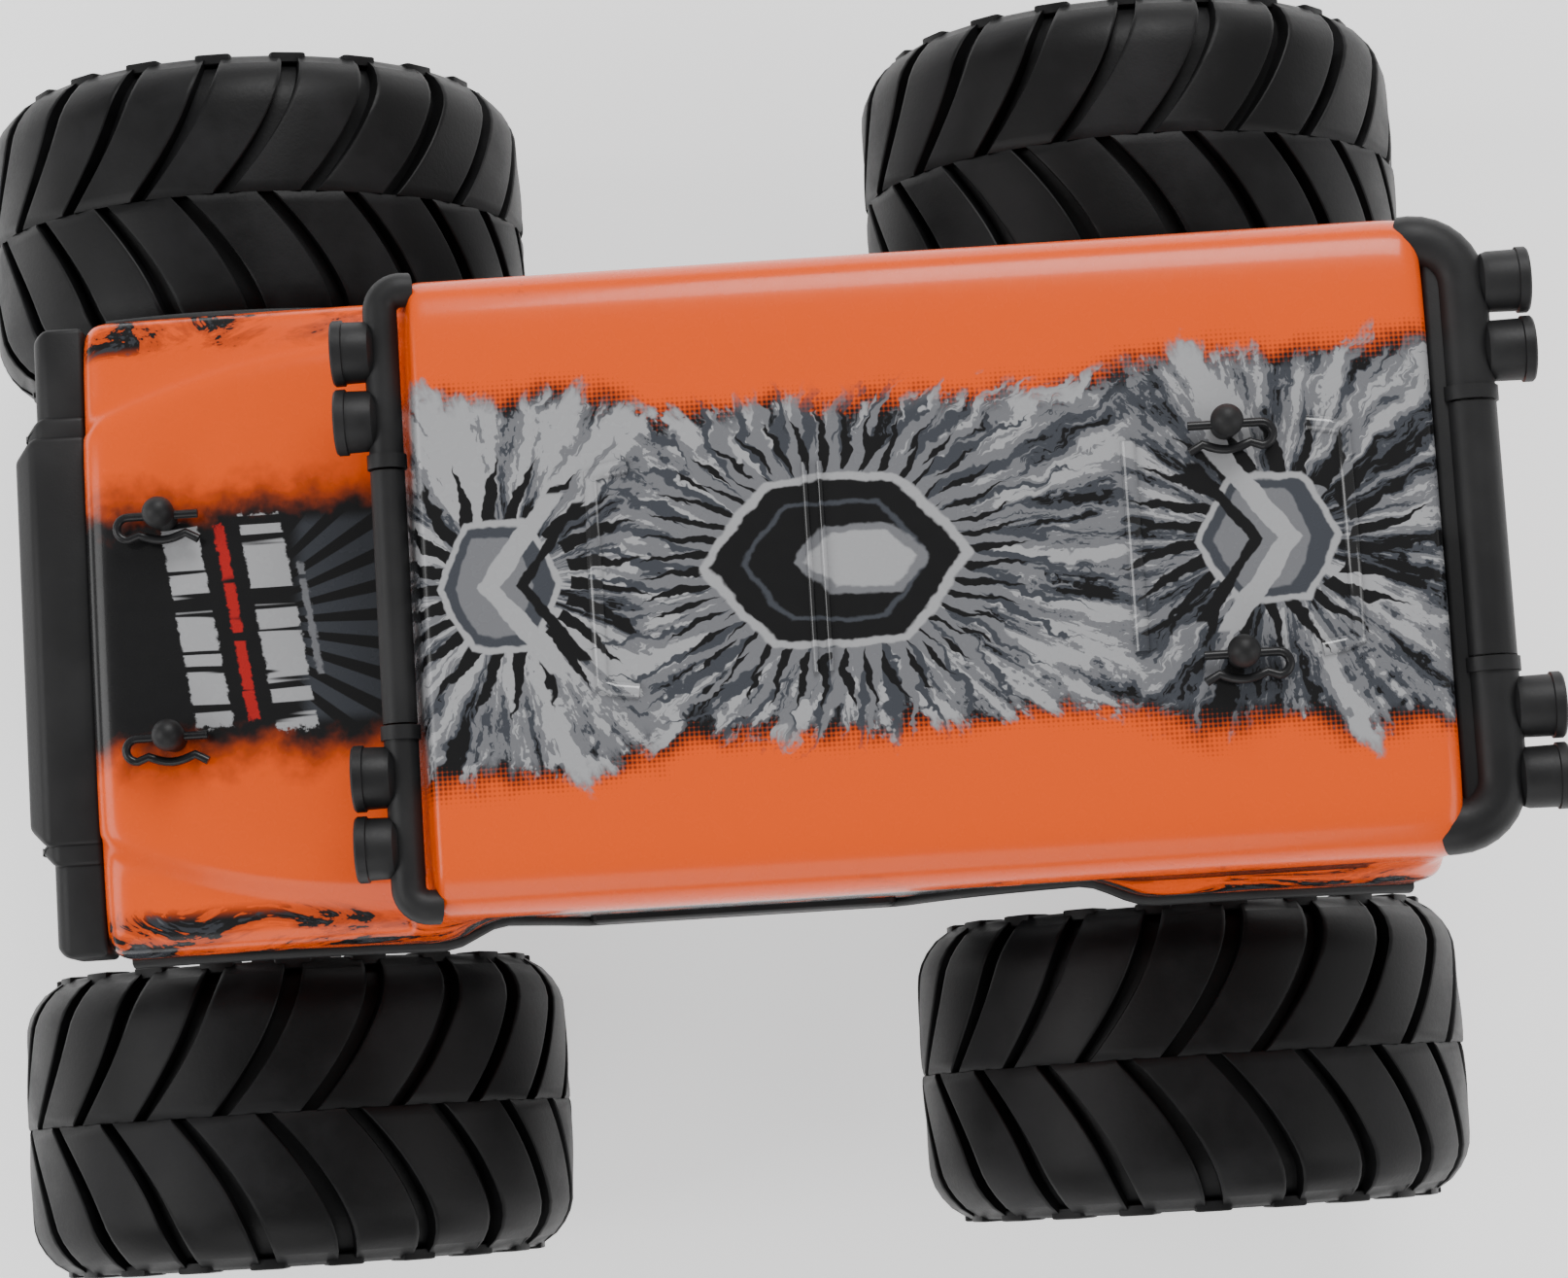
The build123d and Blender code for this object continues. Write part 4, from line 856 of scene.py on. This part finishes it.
tyre = {"radius": axleHeight, "halfWidth": 31.2, "count": 20, "lugWidth": 14.7, "depth": 3.6, "slant": 16.5,
        "curve": 1.7, "bead": 36.5, "steps": 12, "blockLag": 0.44,
        "blockSize": (7.5, 2.4, 6.5), "blockAt": 30.0}


# outer radius of the tread at a distance from the tyre's middle
def crownRadius(across):
    share = abs(across) / tyre["halfWidth"]
    return tyre["radius"] - 0.9 * share ** 2 - 7.2 * max(0, (share - 0.62) / 0.38) ** 2.2


# one curved bar of the tread, from the middle seam to the shoulder
def buildLug(side, turn):
    bm = bmesh.new()
    bmesh.ops.create_cube(bm, size=1)
    lengthways = [edge for edge in bm.edges if abs((edge.verts[0].co - edge.verts[1].co).y) > 0.5]
    bmesh.ops.subdivide_edges(bm, edges=lengthways, cuts=tyre["steps"], use_grid_fill=True)
    rims = [edge for edge in bm.edges if edge.is_manifold and edge.calc_face_angle() > 1
            and max(v.co.z for v in edge.verts) > 0.4 and min(v.co.z for v in edge.verts) > 0.4]
    softEdges(bm, rims, 0.07, 2)
    reach = tyre["halfWidth"] - 0.6
    for vert in bm.verts:
        share = vert.co.y + 0.5
        across = 0.02 + share * reach
        width = tyre["lugWidth"] * (1.0 - 0.05 * share)
        along = vert.co.x * width - tyre["slant"] * (1 - (1 - share) ** tyre["curve"])
        height = vert.co.z + 0.5
        radius = crownRadius(across) - tyre["depth"] * (1 - height) - 0.8 * (1 - height)
        if share > 0.93:
            radius -= 0.6 * height
        angle = turn + along / tyre["radius"]
        vert.co = (math.sin(angle) * radius * mm, side * across * mm, math.cos(angle) * radius * mm)
    bmesh.ops.recalc_face_normals(bm, faces=bm.faces)
    return bm


def buildTyreMesh():
    r = tyre["radius"]
    w = tyre["halfWidth"]
    bead = tyre["bead"]
    base = [(share * w, crownRadius(share * w) - tyre["depth"]) for share in
            [i / 12 * 0.97 for i in range(-12, 13)]]
    wall = [(-20.2, bead), (-20.6, bead + 2.6), (-25.5, r - 17.5), (-29.2, r - 14.6), (-30.9, r - 12.0)]
    otherWall = [(-along, radius) for along, radius in reversed(wall)]
    inside = [(16.5, bead), (17.0, r - 15.5), (24, r - 12.5), (24, r - 8.5)]
    inside += [(-along, radius) for along, radius in reversed(inside)]
    whole = lathe(wall + base + otherWall + inside + [wall[0]], 96)
    bmesh.ops.recalc_face_normals(whole, faces=whole.faces)
    for index in range(tyre["count"]):
        for side in (-1, 1):
            turn = (index + (0.5 if side > 0 else 0)) * math.tau / tyre["count"]
            join(whole, buildLug(side, turn))
            join(whole, shoulderBlock(side, turn - tyre["blockLag"]))
    return whole


# a small block between two bars, at the tyre's shoulder
def shoulderBlock(side, turn):
    bm = bmesh.new()
    bmesh.ops.create_cube(bm, size=1)
    softEdges(bm, bm.edges, 0.12, 2)
    bmesh.ops.scale(bm, verts=bm.verts, vec=[size * mm for size in tyre["blockSize"]])
    shift(bm, 0, side * tyre["blockAt"] * mm, (tyre["radius"] - 10.5) * mm)
    bmesh.ops.rotate(bm, verts=bm.verts, cent=(0, 0, 0), matrix=Matrix.Rotation(turn, 3, "Y"))
    return bm


rim = {"outer": 36.4, "half": 22.8, "flange": 38.8, "spokes": 6, "discAt": 8.0, "hub": 8.5,
       "frontBore": 2.6, "rearBore": 3.0, "bolts": 18, "boltRadius": 1.3, "boltHeight": 1.2}


def buildRimMesh(front):
    o = rim["outer"]
    h = rim["half"]
    d = rim["discAt"]
    flange = rim["flange"]
    outline = [(-h, o - 2.6), (-h, flange), (-h + 1.6, flange), (-h + 2.2, o + 0.2), (-h + 5, o - 0.4),
               (-10, o - 0.8), (-4, o - 2.4), (4, o - 2.4), (10, o - 0.8), (h - 5, o - 0.4),
               (h - 2.2, o + 0.2), (h - 1.6, flange), (h - 0.3, flange), (h, flange - 0.5), (h, o - 1.6),
               (h - 1.0, o - 2.4), (h - 8, o - 3.6), (d + 1.5, o - 4.2), (d - 1.5, o - 4.4), (-4, o - 4.6),
               (-12, o - 3.4), (-h, o - 2.6)]
    whole = lathe(outline, 96)
    bore = rim["frontBore"] if front else rim["rearBore"]
    hub = rim["hub"]
    boss = [(-8, bore), (-8, hub), (d - 3, hub), (d + 1.0, hub + 1.5), (d + 1.8, hub + 0.6),
            (d + 2, bore + 2.2), (d + 1.4, bore), (-8, bore)]
    join(whole, lathe(boss, 48))
    # paired spokes with a dished middle
    for index in range(rim["spokes"]):
        for lean in (-1, 1):
            spoke = bmesh.new()
            bmesh.ops.create_cube(spoke, size=1)
            lengthways = [e for e in spoke.edges if abs((e.verts[0].co - e.verts[1].co).z) > 0.5]
            bmesh.ops.subdivide_edges(spoke, edges=lengthways, cuts=6, use_grid_fill=True)
            ridge = [e for e in spoke.edges if e.is_manifold and e.calc_face_angle() > 1
                     and abs((e.verts[0].co - e.verts[1].co).z) > 0.1]
            softEdges(spoke, ridge, 0.16, 2)
            inner = hub - 1.5
            outer = o - 3.6
            for vert in spoke.verts:
                share = vert.co.z + 0.5
                radius = inner + (outer - inner) * share
                width = 4.4 - 0.9 * share
                depth = 4.2 - 1.0 * math.sin(math.pi * share)
                off = lean * (1.2 + 5.4 * share ** 1.3)
                along = d - 2.4 + 3.0 * share ** 2 + vert.co.y * depth
                vert.co = ((off + vert.co.x * width) * mm, along * mm, radius * mm)
            bmesh.ops.rotate(spoke, verts=spoke.verts, cent=(0, 0, 0),
                             matrix=Matrix.Rotation(math.tau * index / rim["spokes"], 3, "Y"))
            bmesh.ops.recalc_face_normals(spoke, faces=spoke.faces)
            join(whole, spoke)
    # a ring of small bolts round the outer edge
    for index in range(rim["bolts"]):
        bolt = bmesh.new()
        bmesh.ops.create_cone(bolt, cap_ends=True, segments=6, radius1=rim["boltRadius"] * mm,
                              radius2=(rim["boltRadius"] - 0.2) * mm, depth=rim["boltHeight"] * mm)
        bmesh.ops.rotate(bolt, verts=bolt.verts, cent=(0, 0, 0), matrix=Matrix.Rotation(-math.pi / 2, 3, "X"))
        shift(bolt, 0, (h - 0.5) * mm, (o + 0.1) * mm)
        spin = Matrix.Rotation(math.tau * index / rim["bolts"], 3, "Y")
        bmesh.ops.rotate(bolt, verts=bolt.verts, cent=(0, 0, 0), matrix=spin)
        join(whole, bolt)
    return whole


def buildWheels():
    for corner in ("fl", "fr", "rl", "rr"):
        low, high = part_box(f"{corner}_tyre")
        centre = (low + high) / 2
        side = 1 if corner[1] == "l" else -1
        for bm, name, material, replaced, slot in (
                (buildTyreMesh(), "tread", rubber, f"{corner}_tyre", "tyre"),
                (buildRimMesh(corner[0] == "f"), "wheel", rimPlastic, f"{corner}_rim", "rim_plastic")):
            if side < 0:
                bmesh.ops.scale(bm, verts=bm.verts, vec=(1, -1, 1))
                bmesh.ops.reverse_faces(bm, faces=bm.faces)
            bmesh.ops.translate(bm, verts=bm.verts, vec=centre)
            mesh = bpy.data.meshes.new(f"{corner}_{name}")
            bm.to_mesh(mesh)
            bm.free()
            place(mesh, f"{corner}_{name}", material, f"{corner}_wheel", (replaced,), 32)


buildWheels()
print("wheels made")


spring = {"start": 9.0, "end": 43.0, "radius": 5.0, "wire": 0.7, "turns": 8, "perTurn": 24,
          "share": 0.62, "inset": 0.04}


# each spring is two coils that slide past each other: one rides on the tube and one on the rod
def buildSprings():
    joints = {joint["name"]: joint for joint in frame["joints"]}
    for corner in ("fl", "fr", "rl", "rr"):
        top = Vector(joints[f"{corner}_shock_swing"]["pos_m"]) / mm
        down = Vector(joints[f"{corner}_shock_slide"]["axis"]).normalized()
        along = Vector((1, 0, 0))
        across = down.cross(along)
        total = spring["turns"] * spring["perTurn"]
        length = spring["end"] - spring["start"] - 2 * spring["wire"]
        cut = int(total * spring["share"])
        coils = (("upper", range(0, cut), f"{corner}_shock_tube", 0.0, (f"{corner}_spring",)),
                 ("lower", range(total - cut, total + 1), f"{corner}_shock_rod", spring["inset"], ()))
        for part, steps, body, inset, replaced in coils:
            points = []
            for step in steps:
                turn = math.tau * step / spring["perTurn"]
                reach = spring["radius"] - inset
                spot = (top + down * (spring["start"] + spring["wire"] + length * step / total)
                        + along * reach * math.cos(turn) + across * reach * math.sin(turn))
                points.append((spot.x - midX, spot.y, spot.z))
            coil = barFrom(points, spring["wire"] - inset, resolution=2)
            finish(coil, f"{corner}_spring_{part}", springPaint, body, replaced, 60)


buildSprings()
print("springs made")


# materials of the CAD pieces that stay, by name
kept = {
    "chassis_plate": blackTrim, "speed_controller": blackTrim, "steering_servo": blackTrim,
    "body_posts": blackTrim, "front_bulkhead": greyNylon, "gearbox_case": greyNylon,
    "gearbox_cover": greyNylon, "shock_towers": greyNylon, "steering_rack": greyNylon,
    "servo_horn": naturalNylon, "drive_gear": naturalNylon, "suspension_pins": steel, "motor_pinion": steel,
    "motor": motorSteel, "battery_pack": batteryWrap,
}
# and by the words after the corner's letters
keptByEnding = {
    "lower_arm": greyNylon, "upper_link": greyNylon, "hub_carrier": greyNylon, "knuckle": greyNylon,
    "tie_rod": greyNylon, "wheel_axle": steel, "dogbone": steel, "shock_tube": shockMetal,
    "shock_rod": steel, "spring": springPaint,
}
for name, node in nodes.items():
    ending = name.split("_", 1)[1] if "_" in name else name
    chosen = kept.get(name) or keptByEnding.get(ending)
    if chosen:
        node.data.materials.clear()
        node.data.materials.append(chosen)
        for face in node.data.polygons:
            face.use_smooth = True
        node.data.set_sharp_from_angle(angle=math.radians(30))
print("kept pieces finished")


floorCard = {"size": 6, "tone": 0.86, "roughness": 0.9, "glow": 0.8}


def buildFloor():
    bm = bmesh.new()
    bmesh.ops.create_grid(bm, x_segments=1, y_segments=1, size=floorCard["size"])
    mesh = bpy.data.meshes.new("floor")
    bm.to_mesh(mesh)
    bm.free()
    floor = bpy.data.objects.new("floor", mesh)
    bpy.context.scene.collection.objects.link(floor)
    paint = Paint("floor_card", Roughness=floorCard["roughness"], Emission_Color=(1, 1, 1, 1),
                  Emission_Strength=floorCard["glow"])
    paint.set("Base Color", (*[floorCard["tone"]] * 3, 1))
    mesh.materials.append(paint.material)


lights = {
    "overhead": {"at": (-0.35, -1.5, 1.4), "size": 1.0, "power": 30},
    "nose": {"at": (1.4, 0.1, 1.1), "size": 1.0, "power": 13},
    "tail": {"at": (-1.4, 0.5, 0.9), "size": 1.0, "power": 7},
    "fill": {"at": (0.3, 1.5, 1.1), "size": 1.3, "power": 10},
}
skyPower = 0.35


def buildLights():
    target = Vector((0, 0, 0.1))
    for name, setting in lights.items():
        lamp = bpy.data.lights.new(name, "AREA")
        lamp.shape = "SQUARE"
        lamp.size = setting["size"]
        lamp.energy = setting["power"]
        holder = bpy.data.objects.new(name, lamp)
        holder.location = setting["at"]
        holder.rotation_euler = (target - Vector(setting["at"])).to_track_quat("-Z", "Y").to_euler()
        bpy.context.scene.collection.objects.link(holder)
    world = bpy.data.worlds.new("studio")
    world.use_nodes = True
    sky = world.node_tree.nodes["Background"]
    sky.inputs["Color"].default_value = (1, 1, 1, 1)
    sky.inputs["Strength"].default_value = skyPower
    bpy.context.scene.world = world


# the camera: place in millimetres, tilt in degrees, lens and sensor in millimetres
view = {"place": (-25.0, 106.85, 957.0), "tilt": (-6.867, -0.696, 3.636), "lens": 96.4, "sensor": 36}


def buildCamera():
    camera = bpy.data.cameras.new("camera")
    camera.sensor_width = view["sensor"]
    camera.lens = view["lens"]
    camera.clip_end = 20
    holder = bpy.data.objects.new("camera", camera)
    tiltX, tiltY, tiltZ = [math.radians(v) for v in view["tilt"]]
    turn = (Matrix.Rotation(tiltZ, 3, "Z") @ Matrix.Rotation(tiltY, 3, "Y") @ Matrix.Rotation(tiltX, 3, "X")
            @ Matrix.Diagonal((-1, -1, 1)))
    x, y, z = view["place"]
    spot = Vector(((x + midX) * mm, y * mm, z * mm))
    holder.matrix_world = Matrix.Translation(spot) @ turn.transposed().to_4x4()
    bpy.context.scene.collection.objects.link(holder)
    bpy.context.scene.camera = holder


buildFloor()
buildLights()
buildCamera()
